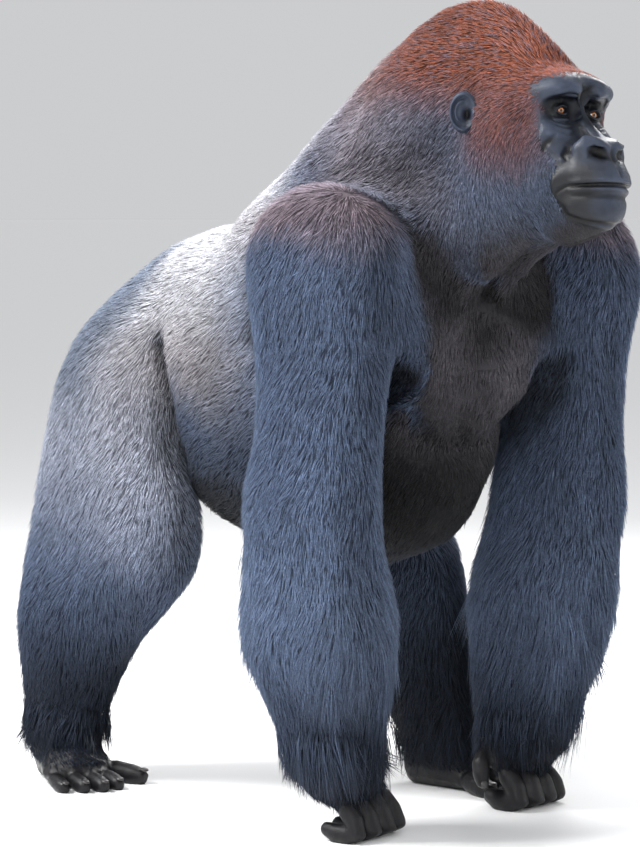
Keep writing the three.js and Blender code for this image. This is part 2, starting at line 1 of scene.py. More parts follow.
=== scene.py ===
"""A life-size silverback gorilla on its knuckles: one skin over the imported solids, a coat of mesh tufts,
eyes, ears and nails. Metres, +Z up. The animal faces -Y and its left side is +X."""

import json
import math

import bmesh
import bpy
import numpy as np
from mathutils import Matrix, Vector
from mathutils.bvhtree import BVHTree

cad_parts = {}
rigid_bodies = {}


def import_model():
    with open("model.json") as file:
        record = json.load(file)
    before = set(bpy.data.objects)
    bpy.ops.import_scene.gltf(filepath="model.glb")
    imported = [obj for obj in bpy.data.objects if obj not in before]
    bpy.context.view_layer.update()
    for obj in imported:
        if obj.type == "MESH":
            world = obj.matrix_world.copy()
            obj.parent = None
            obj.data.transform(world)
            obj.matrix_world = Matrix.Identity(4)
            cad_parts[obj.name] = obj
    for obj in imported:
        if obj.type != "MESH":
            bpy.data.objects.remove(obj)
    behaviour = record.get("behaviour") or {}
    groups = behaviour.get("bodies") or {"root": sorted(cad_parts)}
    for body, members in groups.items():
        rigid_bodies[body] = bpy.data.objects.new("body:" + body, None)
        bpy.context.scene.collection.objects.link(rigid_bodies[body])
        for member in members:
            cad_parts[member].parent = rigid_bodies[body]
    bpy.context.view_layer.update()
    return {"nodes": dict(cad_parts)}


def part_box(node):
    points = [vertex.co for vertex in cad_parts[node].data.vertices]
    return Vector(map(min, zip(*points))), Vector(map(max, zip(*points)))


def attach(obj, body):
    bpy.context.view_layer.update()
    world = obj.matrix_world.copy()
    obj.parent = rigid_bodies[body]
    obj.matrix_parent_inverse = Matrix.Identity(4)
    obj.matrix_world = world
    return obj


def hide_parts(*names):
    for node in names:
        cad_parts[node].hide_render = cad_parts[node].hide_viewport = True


for thing in list(bpy.data.objects):
    bpy.data.objects.remove(thing)
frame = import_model()
nodes = frame["nodes"]
rng = np.random.default_rng(20)

MM = 0.001
WELD = 1e-6  # corners nearer than this are one
SIDES = {"right": -1, "left": 1}

# ---- landmarks ----


def box_middle(name):
    low, high = (np.array(corner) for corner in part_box(name))
    return (low + high) / 2


EYE_MIDDLE = (box_middle("eye_right") + box_middle("eye_left")) / 2
# The body's own origin, on the floor: landmarks of the coat are given from it.
BODY_ORIGIN = EYE_MIDDLE - np.array([0, -0.688, 1.227])
# The face's features are given in millimetres from a point between the eyes, just in front of the eyeballs.
FACE_ORIGIN = EYE_MIDDLE + np.array([0, 0.013, -0.001])


def link(data, name):
    piece = bpy.data.objects.new(name, data)
    bpy.context.collection.objects.link(piece)
    return piece


def mesh_from(bm, name):
    mesh = bpy.data.meshes.new(name)
    bm.to_mesh(mesh)
    bm.free()
    return mesh


def read_all(items, name, width, kind=float):
    """One row of numbers for each item of a mesh."""
    values = np.empty(len(items) * width, dtype=kind)
    items.foreach_get(name, values)
    return values.reshape(-1, width)


def points_of(mesh):
    return read_all(mesh.vertices, "co", 3)


def normals_of(mesh):
    return read_all(mesh.vertex_normals, "vector", 3)


def edges_of(mesh):
    return read_all(mesh.edges, "vertices", 2, np.int64)


def weld(piece):
    """Joins corners that have met, so that no sliver is left between them."""
    bm = bmesh.new()
    bm.from_mesh(piece.data)
    bmesh.ops.remove_doubles(bm, verts=bm.verts, dist=WELD)
    bm.to_mesh(piece.data)
    bm.free()


def smoothed(piece):
    for polygon in piece.data.polygons:
        polygon.use_smooth = True


def set_points(mesh, co):
    mesh.vertices.foreach_set("co", np.ascontiguousarray(co, dtype=np.float32).ravel())
    mesh.update()


def lengths(rows, keepdims=False):
    return np.linalg.norm(rows, axis=1, keepdims=keepdims)


def step(value, low, high):
    t = np.clip((value - low) / (high - low), 0, 1)
    return t * t * (3 - 2 * t)


# ---- camera, floor, light ----

AZIMUTH, ELEVATION, DISTANCE, LENS = math.radians(-40.0), math.radians(3.7), 6.02, 143.5
FOCUS = (-0.065, -0.098, 0.686)
FLOOR_HALF = 200
LAMP_AIM = (0, -0.1, 0.8)
LAMPS = [
    # name, kind, place, power, and its size in metres or, for the sun, as an angle
    ("key", "AREA", (-3.0, 1.4, 4.2), 420, 2.0),
    ("front", "AREA", (-3.2, -4.2, 2.8), 90, 2.0),
    ("fill", "AREA", (3.4, -2.6, 2.2), 30, 3.0),
    ("rim", "AREA", (2.8, 1.6, 3.2), 130, 1.6),
    ("sky", "SUN", (-1.2, 0.2, 4.0), 0.3, math.radians(60)),
]


def add_camera():
    level = math.cos(ELEVATION)
    back = Vector((math.sin(AZIMUTH) * level, -math.cos(AZIMUTH) * level, math.sin(ELEVATION)))
    camera = link(bpy.data.cameras.new("camera"), "camera")
    camera.data.lens = LENS
    camera.data.sensor_width = 36
    camera.location = Vector(BODY_ORIGIN) + Vector(FOCUS) + back * DISTANCE
    camera.rotation_euler = back.to_track_quat("Z", "Y").to_euler()
    bpy.context.scene.camera = camera


def principled(name):
    material = bpy.data.materials.new(name)
    material.use_nodes = True
    return material, material.node_tree, material.node_tree.nodes["Principled BSDF"]


def fill(tree, node, inputs):
    """Gives a node's inputs their numbers and colours, or links another node's output to them."""
    for name, value in inputs.items():
        if isinstance(value, bpy.types.NodeSocket):
            tree.links.new(value, node.inputs[name])
        else:
            node.inputs[name].default_value = value


def added(tree, kind, output, inputs=None, **settings):
    """Adds a node, and gives back one of its outputs."""
    node = tree.nodes.new("ShaderNode" + kind)
    for name, value in settings.items():
        setattr(node, name, value)
    fill(tree, node, inputs or {})
    return node.outputs[output]


def add_studio():
    bm = bmesh.new()
    bmesh.ops.create_grid(bm, x_segments=1, y_segments=1, size=FLOOR_HALF)
    floor = link(mesh_from(bm, "floor"), "floor")
    material, tree, shader = principled("pale_floor")
    fill(tree, shader, {"Base Color": (0.88, 0.88, 0.88, 1), "Roughness": 0.9})
    floor.data.materials.append(material)
    world = bpy.data.worlds.new("studio")
    world.use_nodes = True
    backdrop = world.node_tree.nodes["Background"]
    fill(world.node_tree, backdrop, {"Color": (0.97, 0.98, 1.0, 1), "Strength": 0.62})
    bpy.context.scene.world = world
    bpy.context.scene.view_settings.view_transform = "Standard"
    for name, kind, place, power, size in LAMPS:
        lamp = link(bpy.data.lights.new(name, kind), name)
        lamp.data.energy = power
        setattr(lamp.data, "angle" if kind == "SUN" else "size", size)
        lamp.location = Vector(BODY_ORIGIN) + Vector(place)
        aim = Vector(BODY_ORIGIN) + Vector(LAMP_AIM) - lamp.location
        lamp.rotation_euler = aim.to_track_quat("-Z", "Y").to_euler()


add_camera()
add_studio()

# ---- the rough skin ----

TRUNK = ["chest", "belly_and_rump", "neck", "head", "face"]
LIMBS = ["upper_arm", "forearm", "thigh", "lower_leg"]
FINGERS = ["finger_index", "finger_middle", "finger_ring", "finger_little", "thumb"]
TOES = ["toe_big", "toe_second", "toe_third", "toe_fourth", "toe_fifth"]
FLESH = TRUNK + [f"{part}_{side}" for side in SIDES for part in LIMBS + ["hand", "foot"]]
DIGITS = [f"{part}_{side}" for side in SIDES for part in FINGERS + TOES]
EYES = [f"eye_{side}" for side in SIDES]

VOXEL = 0.004
OVERLAP = 0.0012  # neighbours are grown by this much, so that the cuts between them close
DIGIT_INSET = 0.0018  # keeps the gaps between fingers wider than a voxel
FLOOR_REACH = 0.014  # the lowest skin, which is stood on the floor again
HAND_TOP = 0.15  # hands and feet are below this
SKIN_FACES = 112000


def rough_skin():
    """All the flesh joined and remeshed as one closed mesh, thinned where the coat will cover it."""
    whole = bmesh.new()
    for name in FLESH + DIGITS + EYES:
        part = bmesh.new()
        part.from_mesh(nodes[name].data)
        bmesh.ops.remove_doubles(part, verts=part.verts, dist=WELD)
        part.normal_update()
        growth = -DIGIT_INSET if name in DIGITS else 0.0 if name in EYES else OVERLAP
        moved = [v.co + v.normal * growth for v in part.verts]
        for v, co in zip(part.verts, moved):
            v.co = co
        mesh = mesh_from(part, name)
        whole.from_mesh(mesh)
        bpy.data.meshes.remove(mesh)
    skin = link(mesh_from(whole, "skin"), "skin")
    remesh = skin.modifiers.new("remesh", "REMESH")
    remesh.mode = "VOXEL"
    remesh.voxel_size = VOXEL
    apply_modifiers(skin)
    thin(skin)
    return skin


def apply_modifiers(piece):
    graph = bpy.context.evaluated_depsgraph_get()
    made = bpy.data.meshes.new_from_object(piece.evaluated_get(graph))
    piece.modifiers.clear()
    old, piece.data = piece.data, made
    bpy.data.meshes.remove(old)


def bare_parts(co):
    """True on the bare face and on the hands and feet, which keep their fine mesh."""
    return bare_face(to_face(co)) | (co[:, 2] < HAND_TOP)


def thin(skin):
    co = points_of(skin.data)
    covered = np.flatnonzero(~bare_parts(co))
    group = skin.vertex_groups.new(name="covered")
    group.add(covered.tolist(), 1.0, "REPLACE")
    triangles = sum(len(p.vertices) - 2 for p in skin.data.polygons)
    decimate = skin.modifiers.new("thin", "DECIMATE")
    decimate.ratio = SKIN_FACES / triangles
    decimate.vertex_group = "covered"
    apply_modifiers(skin)


# ---- the field of the face ----


LEAN = math.radians(5)  # the face leans to the animal's left,
LEAN_LEVEL = -40.0  # round a line at this height
SET_BACK = 18.0  # brow and eyes sit further back than the muzzle by this much
BACK_ROUNDS = 14  # enough to undo the setting back to a thousandth of a millimetre


def facing(back):
    """1 over the front of the head, and 0 from the ears back."""
    return step(-back, -110, -50)


def setting(up):
    return SET_BACK * step(up, -66, -12)


def leaned(p, turn):
    c, s = np.cos(turn), np.sin(turn)
    x, z = p[:, 0], p[:, 2] - LEAN_LEVEL
    return np.stack([x * c + z * s, p[:, 1], z * c - x * s + LEAN_LEVEL], axis=1)


def to_face(co):
    """Places in millimetres from FACE_ORIGIN: across, back and up, as on a face held straight."""
    p = (co - FACE_ORIGIN) / MM
    front = facing(p[:, 1])
    p = leaned(p, -LEAN * front)
    p[:, 1] -= setting(p[:, 2]) * front
    return p


def from_face(p):
    """The other way: from millimetres on a face held straight to the place in the scene."""
    back = p[:, 1]
    for _ in range(BACK_ROUNDS):
        back = p[:, 1] + setting(p[:, 2]) * facing(back)
    p = np.stack([p[:, 0], back, p[:, 2]], axis=1)
    return leaned(p, LEAN * facing(back)) * MM + FACE_ORIGIN


def at(across, forward, up):
    return np.array([across, -forward, up], dtype=float)


def bar(p, a, b, ra, rb):
    along = b - a
    t = np.clip((p - a) @ along / (along @ along), 0, 1)[:, None]
    return lengths(p - a - t * along) - (ra + (rb - ra) * t[:, 0])


def ball(p, centre, half, turn=(0, 0, 0)):
    x, y, z = (Matrix.Rotation(math.radians(a), 3, axis) for a, axis in zip(turn, "XYZ"))
    rel = (p - centre) @ np.array(x @ y @ z)
    half = np.array(half, dtype=float)
    near = lengths(rel / half)
    slope = lengths(rel / half**2)
    return near * (near - 1) / np.maximum(slope, 1e-9)


def blend(reach, *fields):
    d = fields[0]
    for other in fields[1:]:
        h = np.maximum(reach - np.abs(d - other), 0) / reach
        d = np.minimum(d, other) - h * h * reach / 4
    return d


def carve(reach, body, *tools):
    for tool in tools:
        body = -blend(reach, -body, tool)
    return body


def path(p, points, radii, reach=30.0):
    """A run of round bars through some points. Places further off than reach only hear that they are far."""
    points = np.array(points)
    room = max(radii) + reach
    near = ((p > points.min(axis=0) - room) & (p < points.max(axis=0) + room)).all(axis=1)
    d = np.full(len(p), room * 1.5)
    q = p[near]
    if len(q):
        runs = zip(points, points[1:], radii, radii[1:])
        d[near] = np.minimum.reduce([bar(q, *run) for run in runs])
    return d


def curved(points, count):
    """A smooth curve through some points, as evenly many places along it."""
    points = np.array(points, dtype=float)
    padded = np.vstack([2 * points[0] - points[1], points, 2 * points[-1] - points[-2]])
    along = np.linspace(0, len(points) - 1, count)
    first = np.minimum(along.astype(int), len(points) - 2)
    t = (along - first)[:, None]
    a, b, c, d = (padded[first + k] for k in range(4))
    return b + 0.5 * ((c - a) * t + (2 * a - 5 * b + 4 * c - d) * t**2 + (3 * b - a - 3 * c + d) * t**3)


def mirrored(p):
    """Features are made on the left side only, and the right is their mirror image."""
    q = p.copy()
    q[:, 0] = np.abs(q[:, 0])
    return q


EYE_CENTRE = at(38, 13, 1)
EYE_RADIUS = 12.4


def face_region(p):
    """1 over the face, falling to 0 where the head's own shape takes over."""
    return step(-p[:, 1], -45, -12) * step(p[:, 2], -250, -214)


def face_form(q):
    """The face before its folds: skull, brow, muzzle, nose and the lids round each eye."""
    skull = blend(
        50,
        ball(q, at(0, -158, 36), (104, 156, 112), (8, 0, 0)),
        bar(q, at(0, -150, 106), at(0, -222, 136), 46, 50),
        bar(q, at(0, -44, 44), at(0, -150, 96), 34, 44),
        ball(q, at(72, -100, -62), (64, 92, 106), (12, 0, 0)),
        ball(q, at(52, -76, 8), (55, 76, 64)),
        bar(q, at(0, -60, -130), at(0, -190, -165), 82, 106),
    )
    brow = blend(
        14,
        ball(q, at(0, 6, 53), (66, 30, 25)),
        path(q, [at(7, 28, 40), at(28, 35, 41), at(52, 24, 39), at(75, -10, 25)], [12, 19, 19, 15.5]),
    )
    muzzle = blend(
        26,
        ball(q, at(0, 28, -108), (66, 88, 40)),
        ball(q, at(0, 32, -98), (50, 56, 36)),
        ball(q, at(0, 24, -152), (60, 84, 46)),
        ball(q, at(0, 52, -160), (46, 48, 36)),
        ball(q, at(0, 0, -184), (58, 50, 38)),
        ball(q, at(0, -20, -60), (72, 60, 70)),
        ball(q, at(48, 4, -34), (35, 28, 21)),
        ball(q, at(56, -20, -114), (37, 58, 54)),
    )
    nostril_rim = [
        at(7, 84, -58), at(20, 83, -52), at(34, 72, -54), at(42, 60, -65), at(37, 60, -79), at(22, 74, -86),
        at(8, 82, -84),
    ]
    nose = blend(
        11,
        path(q, [at(0, 20, 10), at(0, 36, -16), at(0, 64, -46)], [11, 12, 14]),
        ball(q, at(0, 72, -66), (24, 16, 18)),
        ball(q, at(24, 64, -68), (16, 14, 15)),
        path(q, nostril_rim, [9, 12, 13.5, 13.5, 12.5, 11, 9]),
    )
    d = blend(15, blend(24, skull, brow, muzzle), nose)
    d = carve(12, d, ball(q, at(40, 37, 3), (31, 24, 15), (0, 0, 6)))
    lids = ball(q, EYE_CENTRE, (17.6, 16.2, 15.2))
    bag = path(q, [at(22, 15, -12), at(37, 22, -18), at(54, 9, -12)], [4.5, 5.5, 4.5])
    return blend(8, d, lids, bag)


MOUTH_TURNS = np.radians(np.linspace(0, 80, 9))
MOUTH = np.array([
    at(66 * math.sin(t), 18 + 92 * math.cos(t), -118 - 10 * math.sin(t) ** 2) for t in MOUTH_TURNS
])
EYE_SLIT = {"half": 12.0, "above": 5.9, "below": 4.7, "slant": math.radians(-7)}


def lid_line(level, beyond):
    """A line along the upper lid (level 1) or the lower (level -1), some way outside the opening."""
    half = EYE_SLIT["half"] + beyond
    height = level * ((EYE_SLIT["above"] if level > 0 else EYE_SLIT["below"]) + beyond)
    turns = np.linspace(0, math.pi, 7)
    return [EYE_CENTRE + at(-half * math.cos(t), 14, height * math.sin(t)) for t in turns]


def under_eye(reach, drop, first, last):
    """An arc of the loose skin below an eye, from its inner end round to its outer end."""
    turns = np.radians(np.linspace(first, last, 6))
    return [EYE_CENTRE + at(reach * math.cos(t), 12, drop * math.sin(t)) for t in turns]


def folds():
    """Rolls of skin that stand up, then furrows that go in. Each row is its points, its radius, how softly it
    joins, and whether it starts at full depth, as one that crosses the middle of the face does."""
    rolls = [
        (MOUTH[:-1] + (0, 0, 8), -1.6, 13, True),
        (MOUTH[:-1] + (0, 0, -7), -0.4, 11, True),
        (lid_line(1, 2.6), 1.7, 4, False),
        (lid_line(-1, 2.4), 1.3, 4, False),
        (under_eye(23, 19, -165, -20), 2.0, 8, False),
    ]
    furrows = [
        (MOUTH, 2.2, 4.0, True),
        ([MOUTH[-3] + (2, 0, 3), MOUTH[-2] + (3, 0, -2), MOUTH[-1] + (2, 0, -9), MOUTH[-1] + (-2, 2, -20)],
         1.4, 7, False),
        ([at(0, 60, 68), at(0, 56, 48), at(0, 44, 26), at(0, 36, 14)], 3.4, 12, False),
        ([at(11, 50, 62), at(13, 52, 46), at(17, 44, 27)], 1.2, 6, False),
        ([at(20, 44, 60), at(34, 44, 62), at(52, 34, 58), at(70, 10, 46)], 0.6, 8, False),
        ([at(8, 44, 20), at(16, 46, 27), at(24, 46, 29)], 0.4, 5, False),
        ([at(13, 42, 18), at(24, 50, 22), at(42, 46, 22), at(60, 24, 16), at(78, -6, 8)], 2.2, 6, False),
        ([at(12, 44, -16), at(21, 58, -36), at(38, 56, -42), at(55, 42, -56), at(58, 38, -76),
          at(46, 54, -94), at(22, 80, -102)], 3.4, 5, False),
        ([at(50, 52, -82), at(62, 44, -88), at(73, 32, -102), at(77, 20, -122), at(72, 20, -142),
          at(60, 32, -158)], 2.6, 9, False),
        ([at(56, 30, -34), at(68, 14, -50), at(76, 0, -72), at(80, -10, -96)], 1.8, 8, False),
        ([at(66, 12, -30), at(76, -2, -42), at(82, -14, -60)], 0.8, 6, False),
        ([at(0, 96, -50), at(0, 100, -70), at(0, 98, -90)], 1.4, 8, False),
        ([at(0, 104, -92), at(0, 108, -100), at(0, 110, -110)], 0.8, 8, False),
        ([at(0, 104, -140), at(22, 98, -140), at(42, 78, -141), at(54, 56, -143)], -3.0, 13, True),
        (lid_line(1, 6.0), 0.5, 3.5, False),
        (lid_line(-1, 5.5), 0.4, 3.5, False),
        (under_eye(28, 25, -170, -30), 0.9, 5, False),
        (under_eye(35, 32, -165, -35), 0.8, 5, False),
        (under_eye(42, 40, -150, -45), 0.5, 5, False),
        ([at(54, 12, -1), at(66, 0, -4), at(76, -12, -10)], 0.2, 4, False),
        ([at(54, 12, 3), at(66, 2, 4), at(76, -10, 2)], 0.0, 4, False),
        ([at(3, 36, 10), at(9, 33, 2), at(19, 26, 1)], 0.8, 4, False),
        ([at(4, 40, -4), at(12, 38, -9), at(20, 30, -6)], 0.8, 4, False),
        ([at(4, 50, -20), at(12, 48, -24), at(22, 40, -18)], 0.7, 4, False),
        ([at(82, -4, -108), at(88, -14, -136), at(84, -18, -164)], 0.6, 9, False),
        ([at(0, 96, -184), at(24, 88, -183), at(44, 62, -176), at(56, 36, -166)], 2.0, 9, True),
    ]

    def laid(rows):
        made = []
        for points, radius, soft, from_middle in rows:
            line = curved(points, 12)
            line = onto_field(line, lambda p: face_form(mirrored(p)), 5, 8.0)
            t = np.linspace(0, 1, len(line))
            rise = np.clip((1 - t) / 0.22, 0, 1) if from_middle else np.sin(t * math.pi)
            made.append((line, -soft + (radius + soft) * np.clip(rise, 0, 1) ** 0.55, soft))
        return made

    return laid(rolls), laid(furrows)


def face_detail(p):
    q = mirrored(p)
    d = face_form(q)
    for points, radii, soft in FACE_ROLLS:
        d = blend(soft, d, path(q, points, radii, soft + 2))
    for points, radii, soft in FACE_FURROWS:
        d = carve(soft, d, path(q, points, radii, soft + 2))
    nostril = path(q, [at(11, 97, -72), at(21, 93, -69), at(33, 80, -66)], [6.0, 10.2, 8.6], 12)
    return carve(3.0, d, nostril)


def slit_level(q):
    """How far each place is from the middle of the eye's opening: 1 on the edge of the lids."""
    rel = q - EYE_CENTRE
    c, s = math.cos(EYE_SLIT["slant"]), math.sin(EYE_SLIT["slant"])
    across, up = rel[:, 0] * c + rel[:, 2] * s, rel[:, 2] * c - rel[:, 0] * s
    height = np.where(up > 0, EYE_SLIT["above"], EYE_SLIT["below"]) * (1 - (across / EYE_SLIT["half"]) ** 2)
    level = np.abs(up) / np.maximum(height, 1e-3)
    return np.where((np.abs(across) < EYE_SLIT["half"]) & (rel[:, 1] < -3), level, 9.0)


def open_eyes(p):
    """Takes the skin inside each eye's opening back behind the eyeball, up to the edges of the lids."""
    q = mirrored(p)
    level = slit_level(q)
    inside = level < 1
    rel = (q - EYE_CENTRE)[inside]
    behind = 0.84 * EYE_RADIUS
    depth = np.sqrt(np.maximum(behind**2 - rel[:, 0] ** 2 - rel[:, 2] ** 2, 0))
    p = p.copy()
    p[inside, 1] = EYE_CENTRE[1] - depth
    return p


PROBE = 0.5  # how far to either side a field is felt, in millimetres


def slopes(field, co):
    """A field at each place, and how fast it rises there along each axis."""
    here = field(co)
    return here, np.stack([(field(co + off) - here) / PROBE for off in np.eye(3) * PROBE], axis=1)


def onto_field(co, field, rounds=4, reach=4.0):
    """Moves places, in millimetres, onto the surface of a field."""
    co = co.copy()
    for _ in range(rounds):
        here, slope = slopes(field, co)
        move = -slope * (here / np.maximum((slope**2).sum(axis=1), 0.3))[:, None]
        size = lengths(move, True)
        co += move * np.minimum(1, reach / np.maximum(size, 1e-9))
    return co


def relax(co, ends, weight, rounds, hold=0.0):
    """Evens a mesh by its edges. hold takes back the shrinking, as a share of each move."""
    count = len(co)
    degree = np.maximum(np.bincount(ends.ravel(), minlength=count), 1)[:, None]
    weight = np.broadcast_to(weight, (count,))[:, None]

    def drift(values):
        total = np.zeros_like(values)
        for k in range(values.shape[1]):
            total[:, k] = np.bincount(ends[:, 0], values[ends[:, 1], k], count)
            total[:, k] += np.bincount(ends[:, 1], values[ends[:, 0], k], count)
        return total / degree - values

    for _ in range(rounds):
        co = co + weight * drift(co)
        if hold:
            co = co - weight * hold * drift(co)
    return co


def refine(skin, wanted):
    """Halves the edges whose ends are both wanted."""
    bm = bmesh.new()
    bm.from_mesh(skin.data)
    bm.verts.ensure_lookup_table()
    chosen = [e for e in bm.edges if wanted[e.verts[0].index] and wanted[e.verts[1].index]]
    bmesh.ops.subdivide_edges(bm, edges=chosen, cuts=1, use_grid_fill=True)
    bmesh.ops.triangulate(bm, faces=[f for f in bm.faces if len(f.verts) > 3])
    bm.to_mesh(skin.data)
    bm.free()


def slope_of(field, co):
    """The way out of a field at each place, as a unit vector."""
    slope = slopes(field, co)[1]
    return slope / np.maximum(lengths(slope, True), 1e-9)


def shape_face(skin):
    """Draws the head's mesh onto the form of the face, finer and finer towards eyes, nostrils and mouth, then
    lets the folds in along the form's own normals. Returns how deep each vertex went, in millimetres."""
    form = lambda places: face_form(mirrored(places))
    for wanted in (None, bare_face, near_features):
        if wanted:
            refine(skin, wanted(to_face(points_of(skin.data))))
        p = to_face(points_of(skin.data))
        share = face_region(p)
        ends = edges_of(skin.data)
        chosen = share > 0
        for rounds in (3, 2):
            moved = onto_field(p[chosen], form, rounds)
            p[chosen] += (moved - p[chosen]) * share[chosen, None]
            if rounds == 3:
                p = relax(p, ends, 0.5 * (chosen & (share > 0.3)), 3)
        set_points(skin.data, from_face(p))
    fine = share > 0.5
    way = slope_of(form, p[fine])
    q = p[fine]
    for _ in range(5):
        q = q - way * np.clip(face_detail(q) * share[fine], -4, 4)[:, None]
    sunk = np.zeros(len(p))
    sunk[fine] = -((q - p[fine]) * way).sum(axis=1)
    p[fine] = q
    p = relax(p, ends, 0.35 * fine, 1, hold=0.9)
    set_points(skin.data, from_face(open_eyes(p)))
    return sunk


def bare_face(p):
    """True on the naked skin: brow, eyes, nose, muzzle and chin."""
    q = mirrored(p)
    brow = ball(q, at(0, 0, 28), (88, 60, 46))
    middle = ball(q, at(0, 10, -50), (84, 70, 74))
    jaws = ball(q, at(0, 16, -140), (82, 118, 78))
    return np.minimum.reduce([brow, middle, jaws]) < 0


def near_features(p):
    """True where the face has its finest detail: the eyes, the nostrils and the line of the mouth."""
    q = mirrored(p)
    eye = lengths(q - at(38, 22, 0)) < 25
    nostril = lengths(q - at(20, 84, -68)) < 26
    mouth = (np.abs(q[:, 2] + 124) < 12) & (-q[:, 1] > 22)
    return eye | nostril | mouth


# ---- regions, lie and colours ----

REGIONS = {
    # name of the solids: the coat's depth, its tufts' length and half width (mm), its fullness and its lie
    "head": (8, 24, 0.98, 1.5, (0, 0.80, -0.60)),
    "neck": (12, 36, 1.15, 1.15, (0, 0.72, -0.70)),
    "chest": (11, 34, 1.2, 1.0, (0, 0.80, -0.60)),
    "belly_and_rump": (11, 32, 1.18, 1.0, (0, 0.80, -0.60)),
    "upper_arm": (13, 42, 1.22, 1.0, (0, 0.25, -1.0)),
    "forearm": (14, 48, 1.22, 1.05, (0, 0.15, -1.0)),
    "thigh": (12, 38, 1.2, 1.0, (0, 0.35, -0.95)),
    "lower_leg": (13, 42, 1.22, 1.05, (0, 0.20, -1.0)),
    "face": (5, 17, 0.82, 2.2, (0, 0.85, -0.35)),
    "hand": (5, 36, 1.0, 1.3, (0, -0.25, -1.0)),
    "foot": (4, 26, 1.0, 1.3, (0, -0.55, -0.8)),
    "digit": (0, 8, 1.0, 0.0, (0, -0.55, -0.8)),
}
REGION_NAMES = list(REGIONS)
COLUMNS = [np.array(column, dtype=float) for column in zip(*REGIONS.values())]
COAT_DEPTH, TUFT_LENGTH, TUFT_HALF_WIDTH = (column * MM for column in COLUMNS[:3])
FULLNESS, LIE = COLUMNS[3:]


def region_of(name):
    plain = name.removesuffix("_left").removesuffix("_right")
    return REGION_NAMES.index(plain if plain in REGIONS else "digit")


def nearest_regions(co):
    """For each place, the region of the solid that is nearest to it."""
    whole = bmesh.new()
    region_of_face = []
    for name in FLESH + DIGITS:
        before = len(whole.faces)
        whole.from_mesh(nodes[name].data)
        region_of_face += [region_of(name)] * (len(whole.faces) - before)
    tree = BVHTree.FromBMesh(whole)
    whole.free()
    return np.array([region_of_face[tree.find_nearest(place)[2]] for place in co])


def spread(values, ends, rounds):
    """Lets values on a mesh's vertices run into their neighbours."""
    return relax(values, ends, 0.6, rounds)


def wave(co, *terms):
    """A slow, smooth variation over the body, from about -1 to 1."""
    total = np.zeros(len(co))
    for k, (x, y, z, phase) in enumerate(terms):
        total += np.sin(co @ np.array([x, y, z]) + phase) / (1 + 0.5 * k)
    return total / sum(1 / (1 + 0.5 * k) for k in range(len(terms)))


def bump(value, middle, wide):
    return np.exp(-(((value - middle) / wide) ** 2))


def share_of(share, *names):
    """How far each vertex belongs to the named regions."""
    return sum(share[:, REGION_NAMES.index(name)] for name in names)


